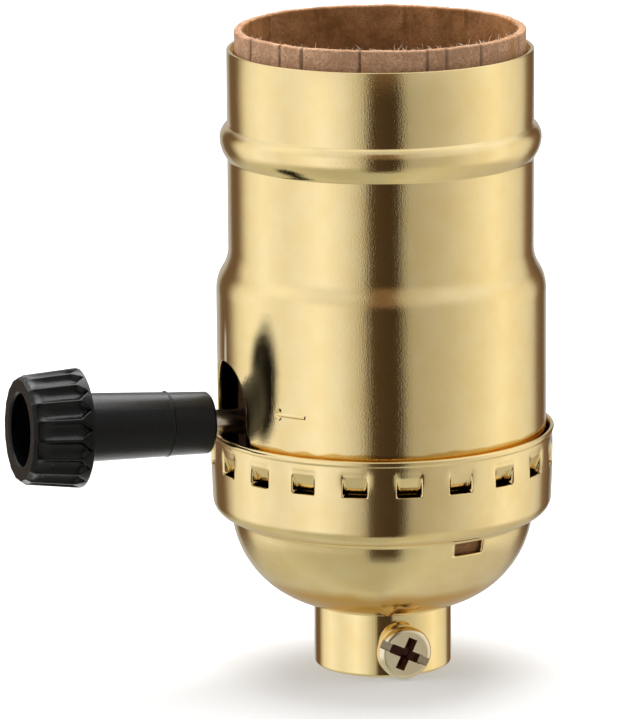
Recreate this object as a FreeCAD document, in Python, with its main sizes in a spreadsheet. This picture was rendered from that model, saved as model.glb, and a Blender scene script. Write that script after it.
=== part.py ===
"""Turn knob lamp socket: brass shell and cap over a phenolic switch body.

Units are millimetres. The origin is the centre of the neck's bottom face, +Z is
up towards the bulb, and the knob points along -X. Every driving size is a named
cell of the Sizes sheet, and every feature reads its sizes from those cells.
"""
import FreeCAD, Part
import os
import re

import Sketcher
from FreeCAD import Placement, Rotation, Vector

doc = FreeCAD.newDocument("TurnKnobSocket")
sheet = doc.addObject("Spreadsheet::Sheet", "Sizes")

# Driving dimensions: alias, value, what it is
SIZES = [
    ("overshoot", 1.0, "how far a cutting tool or a hidden root reaches past a face"),
    ("sink_play", 0.2, "room past the end of a screw or head in its hole"),
    ("sheet_t", 0.45, "thickness of the brass sheet"),
    ("bulb_r", 12.4, "inner thread radius of the screw shell, size E26"),
    ("bulb_t", 0.35, "thickness of the screw shell"),
    ("bulb_corner", 0.9, "corner radius of the screw shell's floor"),
    ("bulb_tall", 22.0, "height of the screw shell"),
    ("bulb_flare", 0.5, "flare of the screw shell's rim"),
    ("bulb_foot_in", 0.5, "how much narrower the screw shell's foot is than its thread"),
    ("bulb_step", 0.5, "height of the slope between that foot and the thread"),
    ("bulb_thread_over", 0.3, "height of that slope's start above the centre contact"),
    ("bulb_play", 1.75, "gap between the screw shell's rim and the cardboard liner"),
    ("liner_t", 0.9, "thickness of the cardboard liner"),
    ("liner_out", 2.19, "how far the liner stands out of the shell"),
    ("liner_lift", 0.3, "gap between the feet of shell and liner"),
    ("liner_notch_half", 6.4, "half width of the liner's slot"),
    ("liner_notch_over", 3.06, "how far the liner's slot reaches above the notch"),
    ("liner_play", 0.4, "gap between liner and shell"),
    ("shoulder_out", 1.37, "how much wider the shell's lower barrel is"),
    ("shoulder_tall", 4.7, "height of the shoulder's curve"),
    ("barrel_low_tall", 15.41, "height of the lower barrel above the cap"),
    ("barrel_up_tall", 12.07, "height from the shoulder to the bead"),
    ("bead_out", 0.83, "how far the bead stands out"),
    ("bead_below", 2.7, "height of the bead's lower flank"),
    ("bead_above", 2.1, "height of the bead's upper flank"),
    ("collar_tall", 9.87, "height from the bead to the shell's rim"),
    ("shell_lift", 1.0, "height of the shell's foot above the band's corner"),
    ("snap_depth", 0.47, "depth of the groove that the louvres snap into"),
    ("snap_ramp", 0.7, "height of the ramps of the snap groove"),
    ("snap_over", 0.3, "how far the snap groove reaches above the louvres"),
    ("notch_half", 4.8, "half width of the shell's notch for the knob"),
    ("notch_over", 7.54, "height of the notch above the knob's axis"),
    ("notch_flare", 0.8, "how much the notch widens at its foot"),
    ("cap_play", 0.28, "gap between shell and cap"),
    ("cap_lip", 0.2, "how far the cap's rim flares out"),
    ("cap_lip_tall", 0.6, "height of the flare at the cap's rim"),
    ("band_tall", 8.19, "height of the band above its rounded corner"),
    ("band_taper", 0.15, "how much narrower the band is at its lower end"),
    ("corner_r", 2.3, "radius of the band's rounded corner"),
    ("corner_tall", 2.65, "height of that corner"),
    ("ledge_step", 1.95, "width of the step from band to ledge"),
    ("ledge_rise", 0.45, "height of the hollow under the ledge"),
    ("bowl_step", 0.4, "depth of the hollow under the ledge"),
    ("bowl_up_tall", 4.75, "height of the bowl's upper curve"),
    ("bowl_up_in", 2.3, "how much narrower the bowl is below that curve"),
    ("bowl_up_r", 9.5, "radius of the bowl's upper curve"),
    ("bowl_low_tall", 3.35, "height of the bowl's lower curve"),
    ("bowl_low_in", 4.2, "how much narrower the bowl is below that curve"),
    ("bowl_low_r", 6.6, "radius of the bowl's lower curve"),
    ("louvre_count", 20, "number of louvres round the cap"),
    ("louvre_wide", 2.7, "width of one louvre"),
    ("louvre_tall", 2.3, "height of a louvre's window"),
    ("louvre_lift", 4.2, "height of the louvres above the band's corner"),
    ("louvre_deep", 1.0, "inward reach of a louvre's tongue"),
    ("louvre_gap", 0.45, "slit left below a louvre's tongue"),
    ("louvre_bite", 0.02, "overlap that joins a louvre's tongue to the band"),
    ("louvre_turn", -83, "angle of the first louvre from +X"),
    ("slot_wide", 3.6, "width of the slot under the ledge"),
    ("slot_tall", 1.7, "height of the slot under the ledge"),
    ("slot_drop", 0.5, "how far the slot reaches into the bowl"),
    ("slot_turn", 16, "angle of the slot from -Y towards +X"),
    ("fibre_t", 0.8, "thickness of the fibre liner of the cap"),
    ("fibre_gap", 0.15, "gap between fibre liner and cap"),
    ("fibre_hole_play", 0.5, "gap between the fibre liner and the staked head"),
    ("neck_bore_r", 4.75, "thread radius of the neck's bore, pipe size one eighth"),
    ("neck_t", 2.85, "thickness of the neck's wall"),
    ("neck_tall", 7.1, "height of the neck"),
    ("neck_chamfer", 0.35, "chamfer at the neck's lower edge"),
    ("flange_in", 0.25, "how far the flange stays inside the cap's flat floor"),
    ("flange_t", 0.5, "thickness of the bushing's flange"),
    ("spigot_t", 1.45, "thickness of the spigot's wall"),
    ("spigot_play", 0.05, "gap between spigot and cap"),
    ("stake_out", 1.0, "how far the staked head stands out"),
    ("stake_tall", 1.1, "height of the staked head"),
    ("set_clear", 0.45, "height of the set screw's head above the neck's end"),
    ("set_turn", -4.5, "angle of the set screw from -Y towards +X"),
    ("set_spin", -38, "angle of the slot in the set screw's head"),
    ("set_head_r", 2.85, "radius of the set screw's head"),
    ("set_head_t", 1.35, "thickness of the set screw's head"),
    ("set_standoff", 0.4, "gap between the head and the neck"),
    ("set_shank_r", 2.05, "radius of the set screw's shank"),
    ("set_tip_gap", 0.2, "how far the set screw's tip stays clear of the bore"),
    ("screw_gap", 0.05, "radial clearance round a screw's shank"),
    ("screw_point", 0.2, "height of the chamfer at a screw's tip"),
    ("cut_wide", 0.8, "width of a screw's slot"),
    ("cut_deep", 0.7, "depth of a screw's slot"),
    ("knob_tilt", 2.5, "rise of the knob's axis outwards, in degrees"),
    ("knob_clear", 1.15, "gap between the cap's rim and the knob"),
    ("knob_long", 21.16, "length of the knob"),
    ("knob_hub_r", 3.4, "radius of the knob's hub at its inner end"),
    ("knob_hub_taper", 0.35, "how much wider the hub is at the head"),
    ("knob_head_long", 6.36, "length of the knob's head"),
    ("knob_head_r", 6.5, "radius of the head at its rear"),
    ("knob_head_taper", 0.55, "how much narrower the head is at its front"),
    ("knob_chamfer", 0.35, "chamfer round the knob's face"),
    ("knob_edge", 0.25, "chamfer round the knob's inner end"),
    ("knob_flare", 0.9, "radius of the curve from hub to head"),
    ("knob_ring_at", 4.9, "distance of the mould line from the knob's inner end"),
    ("knob_ring_out", 0.12, "height of the mould line"),
    ("knob_hole_r", 3.77, "radius of the hollow in the knob's face"),
    ("knob_web", 0.9, "thickness of the head's rear wall"),
    ("knob_grip", 1.3, "how far the shaft stays back from the hollow"),
    ("flute_count", 18, "number of flutes round the knob"),
    ("flute_depth", 0.55, "depth of a flute"),
    ("flute_half", 0.62, "half width of a flute at the surface"),
    ("flute_start", 0.35, "rim left behind the flutes"),
    ("flute_over", 0.1, "how far the flutes' tool runs past the knob's face"),
    ("shaft_r", 1.4, "radius of the knob's shaft"),
    ("shaft_end", 1.7, "depth of the shaft's inner bearing"),
    ("shaft_gap", 0.05, "radial clearance round the shaft"),
    ("collar_out", 1.2, "how far the collar stands out from the shaft"),
    ("collar_t", 0.9, "thickness of the collar"),
    ("collar_gap", 0.2, "gap between the collar and the chamber's wall"),
    ("cam_r", 4.2, "largest radius of the cam"),
    ("cam_flat", 0.9, "how much the cam's flats take off its radius"),
    ("cam_wide", 4.4, "length of the cam along the shaft"),
    ("cam_clear", 0.4, "gap between the cam and the leaf spring"),
    ("cam_over", 0.6, "gap between the cam and the centre rivet"),
    ("cam_side", 0.8, "gap between the cam and the fixed contact"),
    ("cam_play", 0.02, "radial play between cam and shaft"),
    ("block_play", 0.4, "gap between the switch body and the liner"),
    ("block_lift", 1.35, "height of the switch base above the ledge"),
    ("block_chamfer", 0.6, "chamfer at the ends of the switch body"),
    ("split_over", 2.5, "height of the switch body's joint above the knob's axis"),
    ("roof_t", 7.7, "thickness of the housing above the chamber"),
    ("room_floor_t", 3.7, "thickness of the base below the chamber"),
    ("room_end", 3.3, "room in the chamber at the cam's ends"),
    ("boss_r", 4.2, "radius of the boss under the centre contact"),
    ("boss_gap", 0.7, "gap between that boss and the screw shell"),
    ("boss_tall", 1.1, "height of the boss under the centre contact"),
    ("flat_deep", 3.1, "depth of the flats that carry the terminals"),
    ("flat_half", 4.4, "half width of those flats"),
    ("flat_lift", 2.1, "height of the flats' lower end above the base"),
    ("plate_t", 0.6, "thickness of the terminal plates"),
    ("plate_half", 3.6, "half width of the neutral strap"),
    ("plate_play", 0.05, "clearance round a plate in its slot"),
    ("plate_lift", 0.6, "height of the strap's lower end above the flat's"),
    ("plate_over", 3.2, "height of the hot plate above its screw"),
    ("tab_half", 2.4, "half width of the hot terminal"),
    ("terminal_lift", 3.2, "height of the terminal screws above the chamber's floor"),
    ("terminal_r", 1.7, "shank radius of the terminal screws"),
    ("terminal_head_r", 3.0, "head radius of the terminal screws"),
    ("terminal_head_t", 1.5, "head thickness of the terminal screws"),
    ("terminal_wall", 1.4, "wall between a terminal screw's tip and the chamber"),
    ("strap_end", 0.6, "length of the strap beyond its rivet's head"),
    ("spring_t", 0.3, "thickness of the leaf spring"),
    ("spring_half", 2.0, "half width of the leaf spring"),
    ("spring_rise", 1.2, "rise of the leaf spring"),
    ("spring_root", 3.0, "length of the leaf spring on its tab"),
    ("contact_t", 0.5, "thickness of the fixed contact"),
    ("contact_gap", 0.3, "gap between leaf spring and fixed contact"),
    ("contact_reach", 1.4, "length of the fixed contact's hook"),
    ("contact_side", 0.1, "gap between fixed contact and chamber wall"),
    ("tongue_t", 0.4, "thickness of the centre contact"),
    ("tongue_half", 2.6, "half width of the centre contact"),
    ("tongue_long", 3.6, "half length of the centre contact's foot"),
    ("tongue_bend", 0.9, "outer radius of the centre contact's fold"),
    ("tongue_tip", 2.9, "reach of the centre contact's tip past its middle"),
    ("tongue_rise", 4.2, "height of the centre contact's tip over its foot"),
    ("rivet_r", 1.2, "shank radius of the rivets"),
    ("rivet_head_r", 2.0, "head radius of the rivets"),
    ("rivet_head_t", 0.6, "head thickness of the rivets"),
    ("rivet_play", 0.03, "radial play round a rivet"),
    ("rivet_sink", 0.4, "depth of a rivet's head below its face"),
    ("rivet_in", 2.3, "distance of the shell rivets from the flats"),
    ("body_screw_out", 3.1, "distance of the body screws from the chamber along X"),
    ("body_screw_y", 6.6, "place of the body screws along Y"),
    ("body_screw_r", 1.5, "shank radius of the body screws"),
    ("body_screw_reach", 6.6, "length of the body screws in the housing"),
    ("body_head_r", 2.7, "head radius of the body screws"),
    ("body_head_t", 1.6, "head thickness of the body screws"),
]

# Sizes and heights that follow from the driving ones, each from those before it
WORKED_OUT = [
    ("liner_r", "bulb_r + bulb_t + bulb_flare + bulb_play + liner_t"),
    ("shell_r", "liner_r + liner_play + sheet_t"),
    ("shell_base_r", "shell_r + shoulder_out"),
    ("cap_r", "shell_base_r + cap_play + sheet_t"),
    ("cap_low_r", "cap_r - band_taper"),
    ("ledge_r", "cap_r - ledge_step"),
    ("bowl_r", "ledge_r - bowl_step"),
    ("bowl_mid_r", "bowl_r - bowl_up_in"),
    ("floor_r", "bowl_mid_r - bowl_low_in"),
    ("neck_r", "neck_bore_r + neck_t"),
    ("spigot_r", "neck_bore_r + spigot_t"),
    ("floor_hole_r", "spigot_r + spigot_play"),
    ("stake_r", "spigot_r + stake_out"),
    ("flange_r", "floor_r - flange_in"),
    ("floor_z", "neck_tall + flange_t"),
    ("stake_low_z", "floor_z + sheet_t"),
    ("bowl_mid_z", "floor_z + bowl_low_tall"),
    ("bowl_high_z", "bowl_mid_z + bowl_up_tall"),
    ("ledge_z", "bowl_high_z + ledge_rise"),
    ("band_low_z", "ledge_z + corner_tall"),
    ("cap_rim_z", "band_low_z + band_tall"),
    ("louvre_low_z", "band_low_z + louvre_lift"),
    ("louvre_high_z", "louvre_low_z + louvre_tall"),
    ("louvre_tip_r", "cap_r - louvre_deep"),
    ("slot_low_z", "bowl_high_z - slot_drop"),
    ("slot_high_z", "slot_low_z + slot_tall"),
    ("shell_foot_z", "band_low_z + shell_lift"),
    ("snap_low_z", "louvre_low_z - snap_ramp"),
    ("snap_high_z", "louvre_high_z + snap_over"),
    ("shoulder_z", "cap_rim_z + barrel_low_tall"),
    ("bead_z", "shoulder_z + shoulder_tall + barrel_up_tall"),
    ("shell_top_z", "bead_z + collar_tall"),
    ("liner_top_z", "shell_top_z + liner_out"),
    ("liner_foot_z", "shell_foot_z + liner_lift"),
    ("set_z", "set_head_r + set_clear"),
    ("block_r", "liner_r - liner_t - block_play"),
    ("base_low_z", "ledge_z + block_lift"),
    ("room_low_z", "base_low_z + room_floor_t"),
    ("tab_top_z", "room_low_z + plate_t"),
    ("knob_z", "tab_top_z + spring_rise + spring_t + cam_clear + cam_r"),
    ("room_top_z", "knob_z + cam_r + cam_over + rivet_head_t + contact_t"),
    ("split_z", "knob_z + split_over"),
    ("block_top_z", "room_top_z + roof_t"),
    ("foot_z", "block_top_z + boss_tall"),
    ("bulb_foot_r", "bulb_r + bulb_t - bulb_foot_in"),
    ("bulb_foot_z", "foot_z + tongue_rise + bulb_thread_over"),
    ("notch_top_z", "knob_z + notch_over"),
    ("liner_notch_z", "notch_top_z + liner_notch_over"),
    ("contact_in_y", "cam_r + cam_side"),
    ("room_half_y", "contact_in_y + contact_reach + contact_side"),
    ("room_half_x", "cam_wide / 2 + room_end"),
    ("flat_y", "block_r - flat_deep"),
    ("flat_low_z", "base_low_z + flat_lift"),
    ("terminal_deep", "flat_y + plate_t - room_half_y - terminal_wall"),
    ("plate_low_z", "flat_low_z + plate_lift"),
    ("terminal_z", "room_low_z + terminal_lift"),
    ("plate_top_z", "terminal_z + plate_over"),
    ("rivet_y", "flat_y - rivet_in"),
    ("strap_in_y", "rivet_y - rivet_head_r - strap_end"),
    ("sink_z", "room_top_z + rivet_head_t + rivet_sink"),
    ("body_screw_x", "room_half_x + body_screw_out"),
    ("body_screw_top_z", "split_z + body_screw_reach"),
    ("knob_in", "cap_r + cap_lip + knob_clear"),
    ("knob_out", "knob_in + knob_long"),
    ("knob_head_s", "knob_out - knob_head_long"),
    ("knob_face_r", "knob_head_r - knob_head_taper"),
    ("knob_hub_out_r", "knob_hub_r + knob_hub_taper"),
    ("knob_ring_s", "knob_in + knob_ring_at"),
    ("knob_floor_s", "knob_head_s + knob_web"),
    ("shaft_out", "knob_floor_s - knob_grip"),
    ("shaft_in", "-room_half_x - shaft_end"),
    ("collar_r", "shaft_r + collar_out"),
    ("cam_half", "cam_r - cam_flat"),
    ("bulb_hole_r", "boss_r + boss_gap"),
    ("bulb_top_z", "block_top_z + bulb_tall"),
]

for row, (alias, number, note) in enumerate(SIZES, 1):
    sheet.set("A%d" % row, note)
    sheet.set("B%d" % row, str(number))
    sheet.setAlias("B%d" % row, alias)
doc.recompute()

WORDS = re.compile(r"\b[a-z][a-z_]*_?[a-z]*\b")
MEANING = {alias: "Sizes." + alias for alias, _, _ in SIZES}


def bound(text):
    """Turn the names of sizes into references to the sheet."""
    return WORDS.sub(lambda word: MEANING.get(word.group(), word.group()), str(text))


for name, text in WORKED_OUT:
    MEANING[name] = "(%s)" % bound(text)

UPRIGHT = Rotation(Vector(1, 0, 0), 90)
SIDEWAYS = Rotation(Vector(1, 1, 1), 120)
NODES = []


def value(text):
    """Work out an expression of size names."""
    result = sheet.evalExpression(bound(text))
    return float(getattr(result, "Value", result))


def place(obj, *steps):
    """Bind a placement to turns and moves, given outermost first."""
    parts = []
    for x, y, z, axis, angle in steps:
        move = "vector((%s); (%s); (%s))" % (x, y, z)
        turn = "rotation(vector(%d; %d; %d); %s)" % (*axis, angle)
        parts.append("placement(%s; %s)" % (move, turn))
    obj.setExpression("Placement", bound(" * ".join(parts)))
    return obj


def on_knob_axis(obj, distance):
    """Stand an object on the knob's axis, with its own +Z pointing outwards."""
    axis = (0, 0, "knob_z", (0, -1, 0), "90 - knob_tilt")
    return place(obj, axis, (0, 0, distance, (0, 0, 1), 0))


def around(obj, turn, radius, height, spin="0"):
    """Point an object's +Z away from the socket's axis, at an angle from -Y."""
    yaw = (0, 0, 0, (0, 0, 1), turn)
    out = (0, "-(%s)" % radius, height, (1, 0, 0), 90)
    return place(obj, yaw, out, (0, 0, 0, (0, 0, 1), spin))


def box(name, x_low, x_high, y_low, y_high, z_low, z_high):
    """A box between six bound coordinates."""
    obj = doc.addObject("Part::Box", name)
    obj.setExpression("Length", bound("(%s) - (%s)" % (x_high, x_low)))
    obj.setExpression("Width", bound("(%s) - (%s)" % (y_high, y_low)))
    obj.setExpression("Height", bound("(%s) - (%s)" % (z_high, z_low)))
    return place(obj, (x_low, y_low, z_low, (0, 0, 1), 0))


def cylinder(name, radius, tall, x="0", y="0", z="0"):
    """A cylinder standing on a bound point."""
    obj = doc.addObject("Part::Cylinder", name)
    obj.setExpression("Radius", bound(radius))
    obj.setExpression("Height", bound(tall))
    return place(obj, (x, y, z, (0, 0, 1), 0))


def cut(name, base, *tools):
    """Take the tools away from the base."""
    for count, tool in enumerate(tools, 1):
        obj = doc.addObject("Part::Cut", name if count == len(tools) else name + "Step")
        obj.Base = base
        obj.Tool = tool
        base = obj
    return base


def join(name, *shapes):
    """Fuse shapes that belong to one piece."""
    obj = doc.addObject("Part::MultiFuse", name)
    obj.Shapes = list(shapes)
    obj.Refine = True
    return obj


def group(name, *shapes):
    """Keep like pieces apart in one node."""
    obj = doc.addObject("Part::Compound", name)
    obj.Links = list(shapes)
    return obj


def node(obj, name):
    """Name a finished piece and list it for writing."""
    obj.Label = name
    NODES.append(obj)
    return obj


def bulge(start, end, radius):
    """The arc from start to end, to the left of the way for a positive radius."""
    chord = end - start
    half = chord.Length / 2
    rise = abs(radius) - max(radius * radius - half * half, 0) ** 0.5
    side = Vector(-chord.y, chord.x, 0).normalize() * (rise if radius > 0 else -rise)
    return Part.Arc(start, (start + end) / 2 + side, end)


def draw(sketch, points, closed=True):
    """Draw lines and arcs through bound points: x, y and the radius of the span to it."""
    spots = [Vector(value(point[0]), value(point[1]), 0) for point in points]
    spans = len(points) if closed else len(points) - 1
    ends = []
    rules = []
    for span in range(spans):
        start, end = spots[span], spots[(span + 1) % len(spots)]
        target = points[(span + 1) % len(points)]
        if len(target) > 2:
            sketch.addGeometry(bulge(start, end, value(target[2])))
            size = "abs(%s)" % target[2]
            rules.append((Sketcher.Constraint("Radius", span, value(size)), size))
        else:
            sketch.addGeometry(Part.LineSegment(start, end))
        near = (sketch.getPoint(span, 1) - start).Length < (sketch.getPoint(span, 2) - start).Length
        ends.append((1, 2) if near else (2, 1))
    for span in range(spans):
        if closed or span:
            before = (span - 1) % spans
            meet = Sketcher.Constraint("Coincident", before, ends[before][1], span, ends[span][0])
            sketch.addConstraint(meet)
    for corner, point in enumerate(points):
        span, pick = (corner, 0) if corner < spans else (corner - 1, 1)
        for kind, text in (("DistanceX", point[0]), ("DistanceY", point[1])):
            rule = Sketcher.Constraint(kind, span, ends[span][pick], value(text))
            rules.append((rule, text))
    for rule, text in rules:
        index = sketch.addConstraint(rule)
        sketch.setExpression("Constraints[%d]" % index, bound(text))
    return sketch


def origin_plane(body, role):
    """One of a body's own origin planes or axes."""
    return [part for part in body.Origin.OriginFeatures if part.Role == role][0]


def sketch_in(body, name, role, points, lift="0"):
    """A closed sketch on a plane of the body, lifted along the plane's normal."""
    sketch = body.newObject("Sketcher::SketchObject", name)
    sketch.AttachmentSupport = [(origin_plane(body, role), "")]
    sketch.MapMode = "FlatFace"
    sketch.setExpression("AttachmentOffset.Base.z", bound(lift))
    return draw(sketch, points)


def new_body(name):
    """An empty body that may hold separate solids."""
    body = doc.addObject("PartDesign::Body", name)
    body.AllowCompound = True
    return body


def turned(body, name, points):
    """Turn a closed outline, radius and height, round the body's Z axis."""
    sketch = sketch_in(body, name + "Outline", "XZ_Plane", points)
    turn = body.newObject("PartDesign::Revolution", name)
    turn.Profile = sketch
    turn.ReferenceAxis = (sketch, ["V_Axis"])
    turn.Angle = 360
    return turn


def polar(body, name, feature, count):
    """Repeat a feature round the body's Z axis."""
    pattern = body.newObject("PartDesign::PolarPattern", name)
    pattern.Originals = [feature]
    pattern.Axis = (origin_plane(body, "Z_Axis"), [""])
    pattern.Angle = 360
    pattern.setExpression("Occurrences", bound(count))
    body.Tip = pattern
    return pattern


def ribbon(name, points, thick, turn=UPRIGHT):
    """A strip of even thickness beside an open line, to the line's left if positive."""
    line = doc.addObject("Sketcher::SketchObject", name + "Line")
    line.Placement = Placement(Vector(), turn)
    draw(line, points, closed=False)
    doc.recompute()
    strip = doc.addObject("Part::Offset2D", name + "Strip")
    strip.Source = line
    strip.Mode = "Skin"
    strip.Join = "Intersection"
    strip.Fill = True
    strip.setExpression("Value", bound(thick))
    return strip


def spun(name, points, thick):
    """A sheet piece spun round Z from an open outline."""
    obj = doc.addObject("Part::Revolution", name)
    obj.Source = ribbon(name, points, thick)
    obj.Axis = Vector(0, 0, 1)
    obj.Angle = 360
    return obj


def folded(name, points, thick, half, turn, along):
    """A strip folded from an open outline, as wide as twice half."""
    obj = doc.addObject("Part::Extrusion", name)
    obj.Base = ribbon(name, points, thick, turn)
    obj.DirMode = "Custom"
    obj.Dir = along
    obj.Symmetric = True
    obj.setExpression("LengthFwd", bound("2 * (%s)" % half))
    return obj


def shell_outline(inset):
    """The shell's outer line from its foot up, moved inwards by an inset."""
    shoulder_half = "shoulder_tall / 2"
    shoulder_in = "(shell_base_r - shell_r) / 2"
    shoulder_r = "((%s)^2 + (%s)^2) / (2 * (%s))" % (shoulder_half, shoulder_in, shoulder_in)
    low_r = "((bead_below / 2)^2 + (bead_out / 2)^2) / bead_out"
    high_r = "((bead_above / 2)^2 + (bead_out / 2)^2) / bead_out"
    line = [
        ("shell_base_r", "shell_foot_z"),
        ("shell_base_r", "snap_low_z - snap_ramp"),
        ("shell_base_r - snap_depth", "snap_low_z"),
        ("shell_base_r - snap_depth", "snap_high_z"),
        ("shell_base_r", "snap_high_z + snap_ramp"),
        ("shell_base_r", "shoulder_z"),
        ("(shell_base_r + shell_r) / 2", "shoulder_z + shoulder_tall / 2", "-(%s)" % shoulder_r),
        ("shell_r", "shoulder_z + shoulder_tall", shoulder_r),
        ("shell_r", "bead_z - bead_below"),
        ("shell_r + bead_out / 2", "bead_z - bead_below / 2", low_r),
        ("shell_r + bead_out", "bead_z", "-(%s)" % low_r),
        ("shell_r + bead_out / 2", "bead_z + bead_above / 2", "-(%s)" % high_r),
        ("shell_r", "bead_z + bead_above", high_r),
        ("shell_r", "shell_top_z"),
    ]
    return [("%s - (%s)" % (point[0], inset),) + point[1:] for point in line]


def backwards(line):
    """The same open line the other way, with its arcs turned over."""
    bends = [point[2] if len(point) > 2 else None for point in line]
    flipped = [line[-1][:2]]
    for index in range(len(line) - 2, -1, -1):
        bend = bends[index + 1]
        flipped.append(line[index][:2] + (("-(%s)" % bend,) if bend else ()))
    return flipped


def arch(half, foot, top, flare=None):
    """A notch outline, sideways and height, open below its foot."""
    spring = "%s - %s" % (top, half)
    sill = "cap_rim_z + 2 * %s" % flare
    wide = "%s + %s" % (half, flare)
    crown = [("0", top, half), ("-(%s)" % half, spring, half)]
    if flare is None:
        return [("-(%s)" % half, foot), (half, foot), (half, spring)] + crown
    right = [(wide, foot), (wide, "cap_rim_z"), (half, sill), (half, spring)]
    left = [("-(%s)" % half, sill), ("-(%s)" % wide, "cap_rim_z"), ("-(%s)" % wide, foot)]
    return right + crown + left


def notched(body, name, outline, reach):
    """Cut an outline through the knob's side of a turned wall."""
    notch = body.newObject("PartDesign::Pocket", name)
    notch.Profile = sketch_in(body, name + "Outline", "YZ_Plane", outline)
    notch.setExpression("Length", bound(reach))
    body.Tip = notch
    return notch


# Outer shell: drawn sheet with a bead, a shoulder and a notch for the knob
shell = new_body("OuterShell")
turned(shell, "ShellWall", shell_outline("0") + backwards(shell_outline("sheet_t")))
notched(shell, "ShellNotch", arch("notch_half", "shell_foot_z - overshoot", "notch_top_z", "notch_flare"),
        "shell_base_r + overshoot")
node(shell, "outer_shell")

# Cardboard liner: a rolled tube with its own slot for the knob
liner = new_body("Liner")
turned(liner, "LinerWall", [
    ("liner_r - liner_t", "liner_foot_z"),
    ("liner_r", "liner_foot_z"),
    ("liner_r", "liner_top_z"),
    ("liner_r - liner_t", "liner_top_z"),
])
notched(liner, "LinerSlot", arch("liner_notch_half", "liner_foot_z - overshoot", "liner_notch_z"),
        "liner_r + overshoot")
node(liner, "shell_liner")

# Cap: spun bowl with a rounded band, snap louvres and a slot under the ledge
CAP_LINE = [
    ("floor_hole_r", "floor_z"),
    ("floor_r", "floor_z"),
    ("bowl_mid_r", "bowl_mid_z", "-bowl_low_r"),
    ("bowl_r", "bowl_high_z", "-bowl_up_r"),
    ("ledge_r", "ledge_z"),
    ("cap_low_r", "band_low_z", "-corner_r"),
    ("cap_r", "louvre_low_z"),
    ("cap_r", "cap_rim_z - cap_lip_tall"),
    ("cap_r + cap_lip", "cap_rim_z"),
]
cap_sheet = spun("CapSheet", CAP_LINE, "sheet_t")

windows = new_body("LouvreWindows")
window = windows.newObject("PartDesign::Pad", "Window")
window.Profile = sketch_in(windows, "WindowOutline", "XZ_Plane", [
    ("louvre_tip_r", "louvre_low_z"),
    ("cap_r + overshoot", "louvre_low_z"),
    ("cap_r + overshoot", "louvre_high_z"),
    ("louvre_tip_r", "louvre_high_z"),
])
window.Midplane = True
window.setExpression("Length", bound("louvre_wide"))
polar(windows, "WindowRing", window, "louvre_count")
place(windows, (0, 0, 0, (0, 0, 1), "louvre_turn"))

tongues = new_body("LouvreTongues")
tongue = tongues.newObject("PartDesign::Pad", "Tongue")
tongue.Profile = sketch_in(tongues, "TongueOutline", "XZ_Plane", [
    ("louvre_tip_r", "louvre_low_z + louvre_gap"),
    ("louvre_tip_r + sheet_t", "louvre_low_z + louvre_gap"),
    ("cap_r - louvre_bite", "louvre_high_z"),
    ("cap_r - louvre_bite", "louvre_high_z + sheet_t / 2"),
    ("cap_r - sheet_t", "louvre_high_z + sheet_t / 2"),
])
tongue.Midplane = True
tongue.setExpression("Length", bound("louvre_wide"))
polar(tongues, "TongueRing", tongue, "louvre_count")
place(tongues, (0, 0, 0, (0, 0, 1), "louvre_turn"))

slot_out = "-ledge_r - overshoot"
slot = box("SlotCut", "-slot_wide / 2", "slot_wide / 2", slot_out, "-bowl_r + 2 * overshoot",
           "slot_low_z", "slot_high_z")
place(slot, (0, 0, 0, (0, 0, 1), "slot_turn"), ("-slot_wide / 2", slot_out, "slot_low_z", (0, 0, 1), 0))
node(join("Cap", cut("CapCut", cap_sheet, windows, slot), tongues), "cap")

# Fibre liner: an insulating bowl that lies in the cap
FIBRE_OUT = "(sheet_t + fibre_gap)"
FIBRE_SLANT = "cos(45) * %s" % FIBRE_OUT
fibre = spun("FibreLiner", [
    ("stake_r + fibre_hole_play", "floor_z + %s" % FIBRE_OUT),
    ("floor_r - fibre_gap", "floor_z + %s" % FIBRE_OUT),
    ("bowl_mid_r - %s" % FIBRE_SLANT, "bowl_mid_z + %s" % FIBRE_SLANT, "-(bowl_low_r - %s)" % FIBRE_OUT),
    ("bowl_r - %s" % FIBRE_OUT, "bowl_high_z", "-bowl_up_r"),
    ("bowl_r - %s" % FIBRE_OUT, "liner_foot_z - fibre_gap"),
], "fibre_t")
node(fibre, "cap_liner")

# Neck bushing: turned, bored for threaded pipe, staked through the cap's floor
bushing = new_body("Bushing")
turned(bushing, "BushingTurn", [
    ("neck_bore_r", "0"),
    ("neck_r - neck_chamfer", "0"),
    ("neck_r", "neck_chamfer"),
    ("neck_r", "floor_z - flange_t"),
    ("flange_r", "floor_z - flange_t"),
    ("flange_r", "floor_z"),
    ("spigot_r", "floor_z"),
    ("spigot_r", "stake_low_z"),
    ("stake_r", "stake_low_z"),
    ("stake_r", "stake_low_z + stake_tall / 2"),
    ("spigot_r", "stake_low_z + stake_tall"),
    ("neck_bore_r", "stake_low_z + stake_tall"),
])
set_hole = cylinder("SetHole", "set_shank_r + screw_gap", "neck_r")
around(set_hole, "set_turn", "neck_bore_r / 2", "set_z")
node(cut("NeckBushing", bushing, set_hole), "neck_bushing")


# Form of a pan head: straight share of its height, and the crown's radius and height
PAN_SIDE = 0.55
PAN_CROWN_R = 0.8
PAN_CROWN_Z = 0.93
CROSS_REACH = 0.55
CROSS_DEEP = 1.2


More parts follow.
